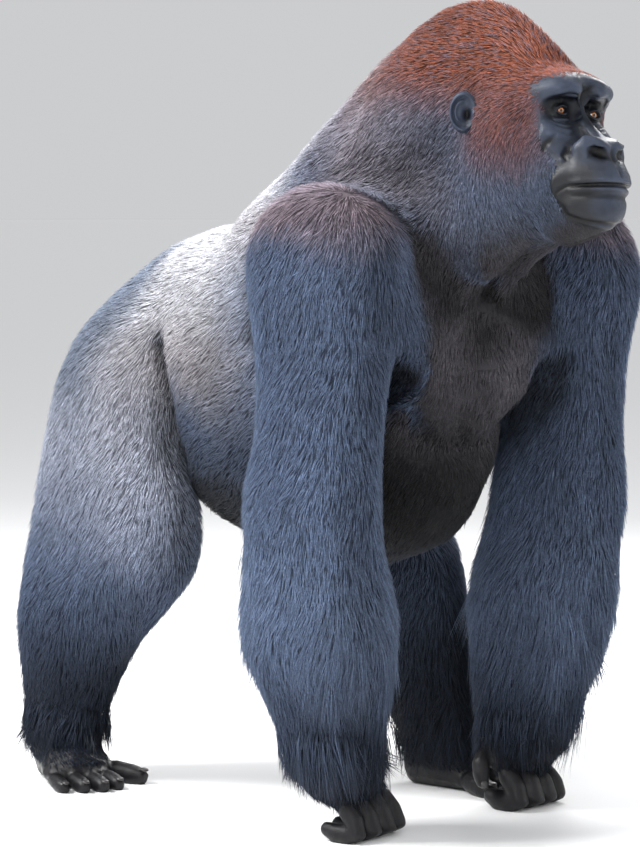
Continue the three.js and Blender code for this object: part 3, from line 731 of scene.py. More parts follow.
def masks(co, normal, share):
    """Where the coat is silver, russet, dark or missing, and where painted light and shade fall on it. co is
    in metres from the body's origin.
    """
    x, y, z = np.abs(co[:, 0]), co[:, 1], co[:, 2]
    q = mirrored(to_face(co + BODY_ORIGIN))
    part = lambda *names: share_of(share, *names)
    forearm, thigh, shank, neck = part("forearm"), part("thigh"), part("lower_leg"), part("neck")
    limb = part("upper_arm", "forearm", "lower_leg", "hand", "foot", "digit")
    trunk, head = part("belly_and_rump", "chest"), part("head", "face")
    leg = np.clip(thigh + shank, 0, 1)
    sway = 0.05 * wave(co, (9, 5, 7, 0.3), (17, -11, 13, 1.9), (31, 23, -19, 4.0))
    y_sway, z_sway = y + sway, z + sway
    along = step(y_sway, -0.20, 0.0)
    up = step(z + 0.25 * normal[:, 2] + sway, 0.62, 0.92)
    upward = step(normal[:, 2] + 0.5 * normal[:, 1], 0.5, 1.1)
    # painted highlight: the nape's faces that look up and back are paler, as if lit from above
    nape = upward * step(z, 1.0, 1.12) * step(y_sway, -0.36, -0.20)
    temple = head * (1 - step(lengths((q - at(92, -60, 0)) * (1, 0.8, 0.8)), 30, 110))
    crown = step(z + sway * 0.5 - 0.18 * (y + 0.5), 1.19, 1.30) * (head + 0.8 * neck * step(z, 1.10, 1.24))
    shoulder = part("upper_arm", "chest") * bump(z_sway, 1.06, 0.07)
    shoulder = shoulder * step(x, 0.10, 0.2) * step(normal[:, 2], 0.1, 0.7)
    forward, inward = step(-normal[:, 1], 0.74, 1.0), step(-normal[:, 0] * np.sign(co[:, 0]), 0.0, 0.7)
    belly_line = (1 - step(z, 1.03, 1.10)) * (1 - step(x, 0.18, 0.25)) * (1 - step(limb, 0.4, 0.8))
    naked = np.minimum.reduce([
        ball(q, at(0, 14, 30), (88, 64, 34)),
        ball(q, at(0, 30, -40), (83, 80, 60)),
        ball(q, at(0, 66, -116), (86, 78, 62)),
        ball(q, at(0, 64, -154), (60, 76, 40)),
    ])
    return {
        "saddle": along * up * (1 - limb) * (1 - 0.5 * thigh) * (1 - 0.5 * step(y, 0.36, 0.52)),
        "rump": part("belly_and_rump", "thigh") * step(y_sway, 0.24, 0.36) * step(z_sway, 0.62, 0.78),
        "groin": part("belly_and_rump") * (1 - step(z_sway, 0.56, 0.78)),
        # painted shadow that the arm casts on the trunk behind it
        "arm_shadow": trunk * bump(y_sway, -0.02, 0.14) * (1 - step(z_sway, 0.74, 0.98)),
        "mantle": neck * step(z_sway, 0.98, 1.12),
        "shoulder": shoulder,
        "nape": nape * (1 - limb) * (1 - head),
        "haunch": step(z_sway, 0.34, 0.70) * thigh,
        "forearm": forearm * bump(z_sway, 0.44, 0.12),
        "low": np.clip(limb + thigh, 0, 1) * (1 - step(z_sway, 0.12 + 0.08 * leg, 0.36 + 0.14 * leg)),
        "russet": np.clip(np.maximum.reduce([crown, 0.8 * temple, 0.3 * shoulder]), 0, 1),
        "front": step(-normal[:, 1], 0.0, 0.5) * step(-y, 0.24, 0.32) * belly_line,
        "shaded": np.clip(limb + thigh, 0, 1) * np.maximum(forward, 0.8 * inward),
        # where the painted highlight on the breast muscles falls
        "breast": bump(x, 0.065, 0.035) * bump(z, 0.81, 0.06),
        # the underside: partly the belly's own dark hair, partly painted shade on faces that look down
        "under": step(-normal[:, 2], 0.1, 0.7) * (1 - step(z, 0.6, 0.75)) * (1 - limb) * (1 - thigh),
        "throat": (head + neck) * (1 - step(q[:, 2] + 0.45 * q[:, 1], -215, -165)),
        "edge": bump(naked, 5, 7),
        "bald": 1 - step(naked, -1, 2.5),
        "bare": 1 - step(naked, 3, 8),
    }


SLATE = (0.098, 0.134, 0.214)
# the pale tone of the painted highlight on the nape
PALE = (0.60, 0.61, 0.66)
SILVER = (0.58, 0.58, 0.62)
FLANK = (0.30, 0.25, 0.245)
HAUNCH = (0.345, 0.370, 0.445)
MANTLE = (0.285, 0.247, 0.270)
RUMP = (0.160, 0.190, 0.250)
FOREARM = (0.122, 0.166, 0.258)
RUSSET = (0.190, 0.057, 0.031)
CHEEK = (0.092, 0.114, 0.166)
DUSK = (0.012, 0.018, 0.032)
CHARCOAL = (0.012, 0.012, 0.014)
BREAST = (0.046, 0.043, 0.050)
SKIN_TONE = (0.024, 0.031, 0.049)
# the bare face's painted shade, on its sides and jaw
SHADED_FACE_TONE = (0.0085, 0.0090, 0.0110)
HAND_TONE = (0.006, 0.006, 0.0075)


def mix(base, colour, amount):
    return base + (np.array(colour) - base) * np.clip(amount, 0, 1)[:, None]


def markings(co, normal, share, hollow):
    """The coat's colour at each place, with painted shade in the hollows between muscles, behind the arms, on
    the limbs' front and inner faces and partly on the underside, and painted highlights on the nape, the
    breast muscles and the swells.
    """
    m = masks(co, normal, share)
    colour = np.tile(np.array(SLATE), (len(co), 1))
    head = share_of(share, "head", "face")
    flank = m["saddle"] * (1 - step(co[:, 2], 0.74, 0.92)) * (1 - step(co[:, 1], 0.2, 0.42))
    layers = [
        (CHEEK, head * 0.8),
        (MANTLE, np.maximum(0.8 * m["mantle"], 0.6 * m["shoulder"])),
        (FOREARM, m["forearm"]),
        (HAUNCH, m["haunch"]),
        (SILVER, m["saddle"]),
        (FLANK, flank * 0.9),
        (RUMP, m["rump"]),
        (CHARCOAL, m["groin"] * 0.88),
        # the arm's painted shadow on the trunk
        (DUSK, m["arm_shadow"] * 0.6),
        (RUSSET, m["russet"]),
        # painted highlight on the nape
        (PALE, m["nape"] * 0.45),
        (DUSK, m["low"]),
    ]
    for tone, amount in layers:
        colour = mix(colour, tone, amount)
    colour = colour * (1 - 0.45 * m["shaded"])[:, None]
    colour = mix(colour, BREAST, np.maximum(m["front"], m["throat"]))
    # painted highlight: the breast muscles paler
    colour = colour * (1 + 0.9 * m["front"] * m["breast"])[:, None]
    belly = m["front"] * (1 - step(co[:, 2], 0.62, 0.70))
    # the dark belly, and the underside, partly its own dark hair and partly painted shade
    colour = mix(colour, CHARCOAL, np.maximum(belly, m["under"] * 0.9))
    colour = colour * (1 + 0.16 * wave(co, (13, 9, 6, 0.0), (-19, 15, 11, 2.0), (29, -23, 17, 4.0)))[:, None]
    # painted shade in the hollows between muscles and in the folds, and painted highlight on the swells
    deep = 0.72 - 0.55 * (share_of(share, "neck") + head)
    colour = colour * (1 - deep * step(hollow, 0.5, 7.5) + 0.15 * step(-hollow, 0.5, 6.0))[:, None]
    return colour, m


def paint(mesh, name, colour):
    attribute = mesh.color_attributes.new(name=name, type="FLOAT_COLOR", domain="POINT")
    rgba = np.ones((len(colour), 4), dtype=np.float32)
    rgba[:, :3] = colour
    attribute.data.foreach_set("color", rgba.ravel())


def measure(mesh, name, values):
    attribute = mesh.attributes.new(name=name, type="FLOAT", domain="POINT")
    attribute.data.foreach_set("value", np.ascontiguousarray(values, dtype=np.float32))


# ---- the finished skin ----

FOLD_SHADE = 600  # how much a fold darkens its coat, as hollowness for each metre of its depth
DIGIT_SHRINK = 0.0014  # what evening takes off a finger or toe
UNDERCOAT = 0.45  # the colour of covered skin, as a share of its coat's: painted shade in the gaps between tufts
FACE_HIGHLIGHT_GAIN = 1.25  # how much paler the face's upper part is than its skin tone: the painted highlight on the face's front and top

CHEST_CREASES = [
    # across and up, in metres from the body's origin, with the depth and half width of the crease
    ([(0, 0.99), (0, 0.85), (0, 0.66)], 0.021, 0.018),
    ([(0, 0.655), (0.05, 0.652), (0.10, 0.675), (0.145, 0.73), (0.17, 0.80)], 0.025, 0.020),
    ([(0.03, 1.00), (0.07, 0.95), (0.10, 0.88)], 0.010, 0.014),
    ([(0, 0.56), (0.07, 0.555), (0.13, 0.58)], 0.006, 0.022),
]


def chest_folds(co, normal):
    """How far the skin of the chest goes in at each vertex: between and below the breast muscles."""
    x, y, z = np.abs(co[:, 0]), co[:, 1], co[:, 2]
    flat = np.stack([x, np.zeros(len(co)), z], axis=1)
    front = step(-normal[:, 1], 0.1, 0.5) * step(-y, 0.2, 0.28)
    inward = np.zeros(len(co))
    for line, deep, wide in CHEST_CREASES:
        line = curved([(a, 0, b) for a, b in line], 12)
        d = path(flat, line, [0] * len(line), 0.2)
        inward += deep * np.exp(-((d / wide) ** 2))
    return inward * front


def seams(share):
    """How far the skin goes in where big masses meet: round the shoulders, at the groin, under the neck."""
    trunk = share_of(share, "chest", "belly_and_rump")
    arm, thigh, neck = (share_of(share, part) for part in ("upper_arm", "thigh", "neck"))
    return 0.030 * arm * trunk + 0.012 * thigh * trunk + 0.010 * neck * (arm + share_of(share, "chest"))


SWELLS = [
    # place from the body's origin, how far round it, and how far out the surface moves there
    ((0, -0.47, 1.42), 0.11, 0.013),
    ((0, -0.61, 1.33), 0.06, -0.007),
    ((0, -0.36, 1.37), 0.09, 0.007),
    ((0, -0.12, 1.11), 0.14, 0.011),
    ((0, 0.30, 0.95), 0.15, 0.009),
    ((-0.10, 0.56, 0.78), 0.12, -0.009),
    ((-0.17, 0.16, 0.52), 0.09, 0.016),
    ((-0.25, 0.38, 0.15), 0.05, 0.009),
]


def swelling(co):
    out = np.zeros(len(co))
    for place, reach, amount in SWELLS:
        out += amount * np.exp(-(((co - place) ** 2).sum(axis=1) / reach**2))
    return out


def finish_skin(skin):
    """Evens the body, draws the face, sinks the skin below the coat, and stands hands and feet on the floor.
    Returns each vertex's share of the regions, its depth below the coat, how hollow its surroundings are, and
    how far the face's folds took it in."""
    co = points_of(skin.data)
    ends = edges_of(skin.data)
    covered = ~bare_parts(co)
    soft = spread(covered[:, None].astype(float), ends, 6)[:, 0]
    co = relax(co, ends, 0.28 + 0.22 * soft, 40, hold=1.0)
    set_points(skin.data, co)
    sunk = shape_face(skin)
    co = points_of(skin.data)
    ends = edges_of(skin.data)
    share = spread(np.eye(len(REGIONS))[nearest_regions(co)], ends, 14)
    normal = normals_of(skin.data)
    hollow = ((relax(co, ends, 0.7, 40) - co) * normal).sum(axis=1) / MM
    hollow = spread(hollow[:, None], ends, 4)[:, 0]
    m = masks(co - BODY_ORIGIN, normal, share)
    depth = share @ COAT_DEPTH
    depth *= (1 - m["bald"]) * (1 - 0.5 * m["front"]) * (1 - 0.3 * m["under"])
    depth = spread(depth[:, None], ends, 8)[:, 0]
    fold = chest_folds(co - BODY_ORIGIN, normal) + seams(share)
    hollow += FOLD_SHADE * fold
    depth -= (DIGIT_INSET + DIGIT_SHRINK) * share_of(share, "digit")
    co = co - normal * (depth + fold - swelling(co - BODY_ORIGIN))[:, None]
    height = co[:, 2]
    standing = height < FLOOR_REACH
    co[standing, 2] = np.maximum(0, height[standing] - DIGIT_INSET * (1 - height[standing] / FLOOR_REACH))
    set_points(skin.data, co)
    return share, np.maximum(depth, 0), hollow, sunk


FACE_ROLLS, FACE_FURROWS = folds()
skin = rough_skin()
skin_share, skin_depth, skin_hollow, skin_sunk = finish_skin(skin)
smoothed(skin)
skin_points = points_of(skin.data)
skin_normals = normals_of(skin.data)
skin_tree = BVHTree.FromPolygons(skin_points.tolist(), [p.vertices[:] for p in skin.data.polygons])
coat_colour, skin_masks = markings(skin_points - BODY_ORIGIN, skin_normals, skin_share, skin_hollow)


def colour_skin():
    """Paints the skin: dark as the coat's roots where it is covered, a painted shade for the gaps between
    tufts, and leathery on face, hands and feet, with painted light and shade on the bare face.
    """
    bare, hand = skin_masks["bare"], np.clip(share_of(skin_share, "hand", "foot", "digit"), 0, 1)
    p = to_face(skin_points)
    # painted light on the bare face: paler where it faces forward and on its upper part, as a painted
    # highlight, and darker on its sides and jaw, as painted shade
    lit = 0.75 * step(-skin_normals[:, 1], 0.5, 0.95) + 0.6 * step(p[:, 2], -115, -40)
    lit = np.clip(lit, 0, 1)[:, None]
    tone = np.array(SHADED_FACE_TONE) * (1 - lit) + np.array(SKIN_TONE) * FACE_HIGHLIGHT_GAIN * lit
    colour = coat_colour * UNDERCOAT
    colour += (tone - colour) * bare[:, None]
    colour = mix(colour, HAND_TONE, hand)
    eye_distance = lengths((mirrored(p) - at(38, 18, 4)) / (1.3, 1.3, 1))
    hollow = skin_hollow * bare
    # darker round the eyes: partly the dark skin of the lids, partly painted shade under the brow
    colour *= (0.22 + 0.78 * step(eye_distance, 14, 32))[:, None]
    # painted shade in the face's hollows, painted highlight on its swells
    colour *= (1 - 0.55 * step(hollow, 0.1, 1.6) + 0.35 * step(-hollow, 0.1, 1.6))[:, None]
    # painted shade in the furrows and nostrils, painted highlight on the rolls
    colour *= (1 - 0.9 * step(skin_sunk, 0.5, 4.5) + 0.3 * step(-skin_sunk, 0.2, 2.0))[:, None]
    paint(skin.data, "marking", colour)
    measure(skin.data, "bare", np.clip(bare + hand, 0, 1))


colour_skin()

# ---- the coat ----

TUFTS = 246000
PATCH = 0.003  # each tuft's width on its piece's map
ROOT_DEPTH = 0.0012  # how far below the skin a tuft starts
LOWEST_TIP = 0.0005  # no tip goes nearer to the floor
TIP_REACH = 0.88  # how far a tip gets along the skin, as a share of its tuft's length
TIP_RISE = 0.55  # how far it rises, as a share of the tuft's length for each unit of its lift
THICKNESS = 0.5  # of a tuft, as a share of its width
LENGTH_RANGE, WIDTH_RANGE = (0.72, 1.18), (0.75, 1.2)  # of single tufts, as shares of what their region has
SHORTEST, FLOOR_ROOM = 0.005, 0.004  # of a tuft, and below a tip that hangs over the floor
LIFTS = (0.08, 1.1)  # the least and the most that a tuft is lifted, before its fringe
LEAST_COVER = 0.08  # no tufts where the cover is less
CHIN_COVER = 0.14  # the sparse hair on the chin
HAND_HAIR, SOLE_HAIR = (0.03, 0.06), (0.035, 0.06)  # heights over which the coat starts on the hands and feet
PALE_SHARE, GRIZZLED_SHARE = 0.16, 0.35  # how many tufts are pale, and how many are grey among the russet
COAT_PIECES = [
    # name, the regions it grows on, the axis its map runs along, its slot, and whether it is made in halves
    ("coat_head", ("head", "face"), 2, "russet_coat", False),
    ("coat_neck", ("neck",), 1, "russet_coat", False),
    ("coat_chest", ("chest",), 1, "slate_coat", True),
    ("coat_back", ("belly_and_rump",), 1, "silver_coat", True),
    ("coat_arm", ("upper_arm",), 2, "slate_coat", True),
    ("coat_forearm", ("forearm", "hand", "digit"), 2, "slate_coat", True),
    ("coat_thigh", ("thigh",), 2, "slate_coat", True),
    ("coat_shank", ("lower_leg", "foot"), 2, "slate_coat", True),
]


def lock_template():
    """One lock of hair along +Z, from 0 to 1: a three-sided spindle, fullest a third of the way up."""
    bm = bmesh.new()
    bmesh.ops.create_cone(bm, cap_ends=True, cap_tris=True, segments=3, radius1=1, radius2=0, depth=1)
    bmesh.ops.translate(bm, verts=bm.verts, vec=(0, 0, 0.5))
    bmesh.ops.remove_doubles(bm, verts=bm.verts, dist=1e-4)
    widest = [v for v in bm.verts if v.co.xy.length > 0.5]
    bmesh.ops.translate(bm, verts=widest, vec=(0, 0, 0.36))
    bmesh.ops.recalc_face_normals(bm, faces=bm.faces)
    bm.verts.index_update()
    places = np.array([v.co[:] for v in bm.verts])
    faces = np.array([[v.index for v in f.verts] for f in bm.faces])
    bm.free()
    turn = np.arctan2(places[:, 1], places[:, 0]) / (2 * np.pi) % 1.0
    turn[np.abs(places[:, 2] - 0.5) > 0.4] = 0.4
    patch = np.stack([turn * 1.3, places[:, 2]], axis=1)
    return places, faces, patch


def flow_of(co, normal, share):
    """The way the coat lies on each vertex of the skin."""
    lie = share @ LIE
    up = to_face(co)[:, 2]
    head = share_of(share, "head", "face")[:, None]
    crown, jaw = step(up, -25, 40)[:, None], (1 - step(up, -150, -60))[:, None]
    over = np.array([0, 1.0, -0.15]) * crown + np.array([0, 0.25, -1.0]) * (1 - crown)
    over = over * (1 - jaw) + np.array([0, -0.25, -1.0]) * jaw
    lie = lie * (1 - head) + over * head
    lie[:, 0] += 0.25 * np.sign(co[:, 0]) * head[:, 0] * crown[:, 0]
    lie -= normal * (lie * normal).sum(axis=1, keepdims=True)
    lie /= np.maximum(lengths(lie, True), 0.15)
    return spread(lie, edges_of(skin.data), 10)


def fringes(co, normal, share):
    """1 where the coat stands out in a fringe: behind the thigh and calf, round ankles and wrists, below the
    elbow, along the belly and on the cheeks."""
    z = co[:, 2]
    back, front = step(normal[:, 1], 0.2, 0.8), step(-normal[:, 1], 0.2, 0.8)
    regions = ("thigh", "lower_leg", "foot", "forearm", "upper_arm", "belly_and_rump")
    thigh, shank, foot, forearm, upper, belly = (share_of(share, name) for name in regions)
    total = thigh * back * np.maximum(0.8 * bump(z, 0.50, 0.10), bump(z, 0.62, 0.04))
    total += shank * back * np.maximum(0.7 * bump(z, 0.25, 0.08), 1.4 * bump(z, 0.35, 0.045))
    total += 0.8 * shank * bump(z, 0.13, 0.035)
    total += foot * 0.3 * step(z, 0.07, 0.10)
    total += forearm * (0.9 * back * bump(z, 0.42, 0.14) + 0.8 * front * bump(z, 0.34, 0.10))
    total += forearm * 0.9 * bump(z, 0.19, 0.035)
    total += upper * 0.6 * back * bump(z, 0.58, 0.12)
    total += belly * 0.5 * bump(z, 0.52, 0.05) * step(-normal[:, 2], -0.2, 0.5)
    q = mirrored(to_face(co + BODY_ORIGIN))
    whiskers = bump(q[:, 1], 10, 34) * bump(q[:, 2], -70, 40) * step(q[:, 0], 78, 98)
    total += share_of(share, "face", "head") * 0.8 * whiskers
    return np.clip(total, 0, 1)


def sample_roots(weight_of_vertex):
    """Evenly spread places on the skin, as many as there are tufts, denser where the weight is more."""
    mesh = skin.data
    mesh.calc_loop_triangles()
    tri = read_all(mesh.loop_triangles, "vertices", 3, np.int64)
    a, b, c = (skin_points[tri[:, k]] for k in range(3))
    area = lengths(np.cross(b - a, c - a)) / 2
    weight = area * weight_of_vertex[tri].mean(axis=1)
    total = np.cumsum(weight)
    wanted = (np.arange(TUFTS) + rng.random(TUFTS)) * total[-1] / TUFTS
    chosen = np.searchsorted(total, wanted)
    u, v = rng.random(TUFTS), rng.random(TUFTS)
    over = u + v > 1
    u[over], v[over] = 1 - u[over], 1 - v[over]
    parts = np.stack([1 - u - v, u, v], axis=1)
    return tri[chosen], parts


def at_roots(values, corners, parts):
    """Values on the skin's vertices, read at the roots."""
    if values.ndim == 1:
        return (values[corners] * parts).sum(axis=1)
    return (values[corners] * parts[:, :, None]).sum(axis=1)


def unwrap(places, middle, axis):
    """Round an axis and along it, each from 0 to 1."""
    rel = places - middle
    others = [k for k in range(3) if k != axis]
    turn = np.arctan2(rel[:, others[0]], rel[:, others[1]]) / (2 * np.pi) % 1.0
    along = rel[:, axis]
    along = (along - along.min()) / max(np.ptp(along), 1e-6)
    return np.stack([turn, along], axis=1) * (1 - 2 * PATCH)


def over_skin(places):
    """How high places are over the skin, or under it where that is less than nothing."""
    level = np.empty(len(places))
    for k, place in enumerate(places):
        near, out, _, _ = skin_tree.find_nearest(place)
        level[k] = (Vector(place) - near).dot(out)
    return level


def coat_piece(name, root, axis, template):
    """One joined mesh of tufts. root holds each tuft's place, normal, lie, sizes and colour, and the slot,
    which is not used.
    """
    places, faces, patch = template
    count, size = len(root["place"]), len(places)
    across, thick, along = places.T[:, None, :, None]
    place, normal, lie = (root[key][:, None, :] for key in ("place", "normal", "lie"))
    length, width, lift, curl = (root[key][:, None, None] for key in ("length", "width", "lift", "curl"))
    rise = lift * along * (1 - (1 - TIP_RISE) * along)
    co = place - ROOT_DEPTH * normal + lie * length * along * (1 - (1 - TIP_REACH) * along)
    co = co + normal * (length * rise + width * THICKNESS * thick)
    co = co + np.cross(normal, lie) * (width * across + length * curl * along**2)
    co[:, :, 2] = np.maximum(co[:, :, 2], LOWEST_TIP)
    mesh = bpy.data.meshes.new(name)
    mesh.vertices.add(count * size)
    mesh.loops.add(count * faces.size)
    mesh.polygons.add(count * len(faces))
    corner = (faces[None] + size * np.arange(count)[:, None, None]).ravel()
    mesh.vertices.foreach_set("co", co.astype(np.float32).ravel())
    mesh.loops.foreach_set("vertex_index", corner.astype(np.int32))
    mesh.polygons.foreach_set("loop_start", np.arange(0, corner.size, 3, dtype=np.int32))
    mesh.polygons.foreach_set("use_smooth", np.ones(count * len(faces), dtype=bool))
    mesh.update(calc_edges=True)
    at_map = unwrap(root["place"], root["place"].mean(axis=0), axis)
    uv = at_map[:, None, :] + patch[None] * PATCH
    layer = mesh.uv_layers.new(name="OFBake")
    layer.data.foreach_set("uv", uv[:, faces.ravel(), :].astype(np.float32).ravel())
    paint(mesh, "marking", np.repeat(root["colour"], size, axis=0))
    measure(mesh, "along", np.tile(places[:, 2], count))
    piece = link(mesh, name)
    piece.data.materials.append(coat_material)
    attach(piece, "root")


def coat_cover(place):
    """How well the coat covers each vertex of the skin, from 0 to 1. place is from the body's origin."""
    hand, foot = (share_of(skin_share, part) for part in ("hand", "foot"))
    cover = 1 - np.clip(skin_masks["bald"] + share_of(skin_share, "digit"), 0, 1)
    cover = cover * (1 - hand * (1 - step(place[:, 2], *HAND_HAIR)))
    cover = cover * (1 - foot * (1 - step(place[:, 2], *SOLE_HAIR)))
    p = to_face(skin_points)
    beside_ear = (mirrored(p) - EAR_PLACE) / (45, EAR_HALF[0], EAR_HALF[1])
    cover = cover * step(lengths(beside_ear), 0.75, 1.35)
    chin = lengths((p - at(0, 66, -204)) / (34, 40, 22))
    cover = np.maximum(cover, CHIN_COVER * (1 - step(chin, 0.6, 1.1)))
    return cover * step(skin_points[:, 2], 0.02, 0.05)


def grow_coat():
    """Sows the tufts over the skin, gives each its size, lie and colour, and makes the pieces."""
    share, normal = skin_share, skin_normals
    place = skin_points - BODY_ORIGIN
    cover, fringe = coat_cover(place), fringes(place, normal, share)
    close = 0.35 * fringe + 0.6 * skin_masks["front"] + 0.6 * skin_masks["throat"] + 2.0 * skin_masks["edge"]
    weight = share @ FULLNESS * cover * (1 + close)
    weight[cover < LEAST_COVER] = 0
    corners, parts = sample_roots(weight)
    read = lambda values: at_roots(values, corners, parts)
    flow = flow_of(skin_points, normal, share)
    root = {"place": read(skin_points), "normal": read(normal), "lie": read(flow)}
    root["normal"] /= lengths(root["normal"], True)
    here = root["place"] - BODY_ORIGIN
    turn = 0.30 * wave(here, (41, 13, 29, 0.5), (-23, 57, 17, 2.2), (67, -31, 83, 4.1))
    turn += rng.normal(0, 0.12, TUFTS)
    lie = root["lie"] - root["normal"] * (root["lie"] * root["normal"]).sum(axis=1, keepdims=True)
    lie /= np.maximum(lengths(lie, True), 1e-6)
    root["lie"] = lie * np.cos(turn)[:, None] + np.cross(root["normal"], lie) * np.sin(turn)[:, None]
    covered, fringed, depth = read(cover), read(fringe), read(skin_depth)
    clump = wave(here, (130, 71, 59, 1.0), (-83, 149, 37, 3.0), (61, -97, 167, 5.0))
    fringed = fringed * (0.55 + 0.9 * step(clump, -0.1, 0.6))
    length = read(share @ TUFT_LENGTH) * rng.uniform(*LENGTH_RANGE, TUFTS) * (1 + 0.16 * clump)
    length *= (0.35 + 0.65 * covered) * (1 + 1.5 * fringed) * (1 - 0.2 * read(skin_masks["front"]))
    root["width"] = read(share @ TUFT_HALF_WIDTH) * rng.uniform(*WIDTH_RANGE, TUFTS)
    down = np.maximum(-TIP_REACH * root["lie"][:, 2], 0.05)
    length = np.minimum(length, np.maximum((root["place"][:, 2] - FLOOR_ROOM) / down, SHORTEST))
    root["length"] = length
    level = over_skin(root["place"] + TIP_REACH * root["lie"] * length[:, None])
    lift = (1.02 * depth * rng.uniform(0.6, 1.0, TUFTS) - level) / (TIP_RISE * length)
    root["lift"] = np.clip(lift, *LIFTS) * (1 + 1.1 * fringed * rng.uniform(0.3, 1.0, TUFTS))
    root["curl"] = rng.normal(0, 0.05, TUFTS) + 0.08 * clump
    colour = read(coat_colour)
    pale = (rng.random(TUFTS) < PALE_SHARE)[:, None] * rng.uniform(0.15, 0.45, TUFTS)[:, None]
    colour = colour + (colour * 1.8 + 0.012 - colour) * pale
    grizzled = (rng.random(TUFTS) < GRIZZLED_SHARE) * read(skin_masks["russet"])
    grizzled = grizzled * rng.uniform(0.2, 0.85, TUFTS)
    colour = mix(colour, CHEEK, grizzled)
    root["colour"] = colour * rng.lognormal(0, 0.17, TUFTS)[:, None]
    region = np.array(REGION_NAMES)[np.argmax(read(share), axis=1)]
    left = here[:, 0] > 0
    template = lock_template()
    for name, regions, axis, slot, halved in COAT_PIECES:
        on = np.isin(region, regions)
        halves = {f"{name}_left": on & left, f"{name}_right": on & ~left} if halved else {name: on}
        for part, mask in halves.items():
            chosen = {key: value[mask] for key, value in root.items()}
            chosen["slot"] = slot
            coat_piece(part, chosen, axis, template)


# ---- eyes, ears, nails ----

GAZE = Vector((-0.22, -1.0, -0.03)).normalized()
CORNEA_BULGE, CORNEA_EDGE = 0.075, 33  # a share of the eyeball's radius, and degrees from the gaze


def make_eye(side):
    """An eyeball with a bulging cornea, turned to where it looks. It carries the angle from its gaze."""
    bm = bmesh.new()
    bmesh.ops.create_uvsphere(bm, u_segments=36, v_segments=24, radius=EYE_RADIUS * MM)
    for v in bm.verts:
        angle = math.degrees(v.co.angle(Vector((0, 0, 1))))
        v.co *= 1 + CORNEA_BULGE * max(0, 1 - (angle / CORNEA_EDGE) ** 2)
    bm.verts.index_update()
    angles = np.array([v.co.angle(Vector((0, 0, 1))) for v in bm.verts])
    bmesh.ops.rotate(bm, verts=bm.verts, matrix=GAZE.to_track_quat("Z", "Y").to_matrix(), cent=(0, 0, 0))
    centre = from_face((EYE_CENTRE * (SIDES[side], 1, 1))[None])[0]
    bmesh.ops.translate(bm, verts=bm.verts, vec=centre)
    eye = link(mesh_from(bm, f"eyeball_{side}"), f"eyeball_{side}")
    measure(eye.data, "from_gaze", np.degrees(angles))
    smoothed(eye)
    eye.data.materials.append(eye_material)
    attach(eye, "root")
    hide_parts(f"eye_{side}")


EAR_HALF = (25.0, 35.0)
EAR_PLACE = at(127, -132, 2)
EAR_OUT = (0.80, -0.60, 0.0)
# the painted shade in the ear's bowl
BOWL_SHADE = (0.006, 0.006, 0.008)


def ear_relief(r, turn):
    """How far the ear's outer face stands up, r of the way to its rim. A turn of 0 is to the back, 90 up."""
    back = step(np.cos(turn), -0.75, 0.1)
    rim = 7.0 * bump(r, 0.86, 0.13) * (0.35 + 0.65 * back)
    inner_rim = 4.5 * bump(r, 0.53, 0.10) * step(np.cos(turn - 0.25), -0.1, 0.6)
    valley = -3.0 * bump(r, 0.69, 0.08) * back
    x, y = r * np.cos(turn), r * np.sin(turn)
    bowl = -12.0 * np.exp(-(((x + 0.18) / 0.30) ** 2 + ((y + 0.10) / 0.36) ** 2))
    tragus = 6.0 * np.exp(-(((x + 0.68) / 0.14) ** 2 + ((y + 0.12) / 0.18) ** 2))
    lobe = 2.5 * np.exp(-((x / 0.4) ** 2 + ((y + 0.85) / 0.2) ** 2))
    return rim + inner_rim + valley + bowl + tragus + lobe


def make_ear(side):
    """A flattened ball, its outer face sculpted into rim, valley and bowl, its back joined to the head."""
    bm = bmesh.new()
    bmesh.ops.create_uvsphere(bm, u_segments=56, v_segments=44, radius=1)
    out = SIDES[side]
    outward = Vector((EAR_OUT[0] * out, EAR_OUT[1], 0)).normalized()
    backward = Vector((-outward.y * out, outward.x * out, 0))
    backward = backward if backward.y > 0 else -backward
    centre = Vector(FACE_ORIGIN) + Vector((EAR_PLACE[0] * out, EAR_PLACE[1], EAR_PLACE[2])) * MM
    deep = []
    for v in bm.verts:
        x, y, z = v.co
        turn = math.atan2(y, x)
        flat = math.hypot(x, y)
        r = flat if z < 0 else math.asin(min(flat, 1)) / (math.pi / 2)
        narrow = 1 - 0.16 * step(-y, 0.1, 1.0) * (1 if x < 0 else 0.6)
        across = EAR_HALF[0] * r * math.cos(turn) * narrow
        up = EAR_HALF[1] * r * math.sin(turn)
        if z < 0:
            high = 24.0 * z * (1 - r) + 3.0 * z
        else:
            high = 3.0 * z + float(ear_relief(np.array(r), np.array(turn))) * step(z, 0, 0.25)
        deep.append(high)
        v.co = centre + (backward * across + Vector((0, 0, 1)) * up + outward * high) * MM
    bm.normal_update()
    bmesh.ops.recalc_face_normals(bm, faces=bm.faces)
    ear = link(mesh_from(bm, f"pinna_{side}"), f"pinna_{side}")
    colour = np.tile(np.array(SKIN_TONE) * 1.3, (len(deep), 1))
    # painted shade in the bowl of the ear, darker where it goes deeper
    colour = mix(colour, BOWL_SHADE, step(-np.array(deep), -1.0, 8.0))
    paint(ear.data, "marking", colour)
    measure(ear.data, "bare", np.ones(len(deep)))
    smoothed(ear)
    ear.data.materials.append(skin_material)
    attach(ear, "root")
    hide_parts(f"ear_{side}")


NAIL_PROUD = 0.0006


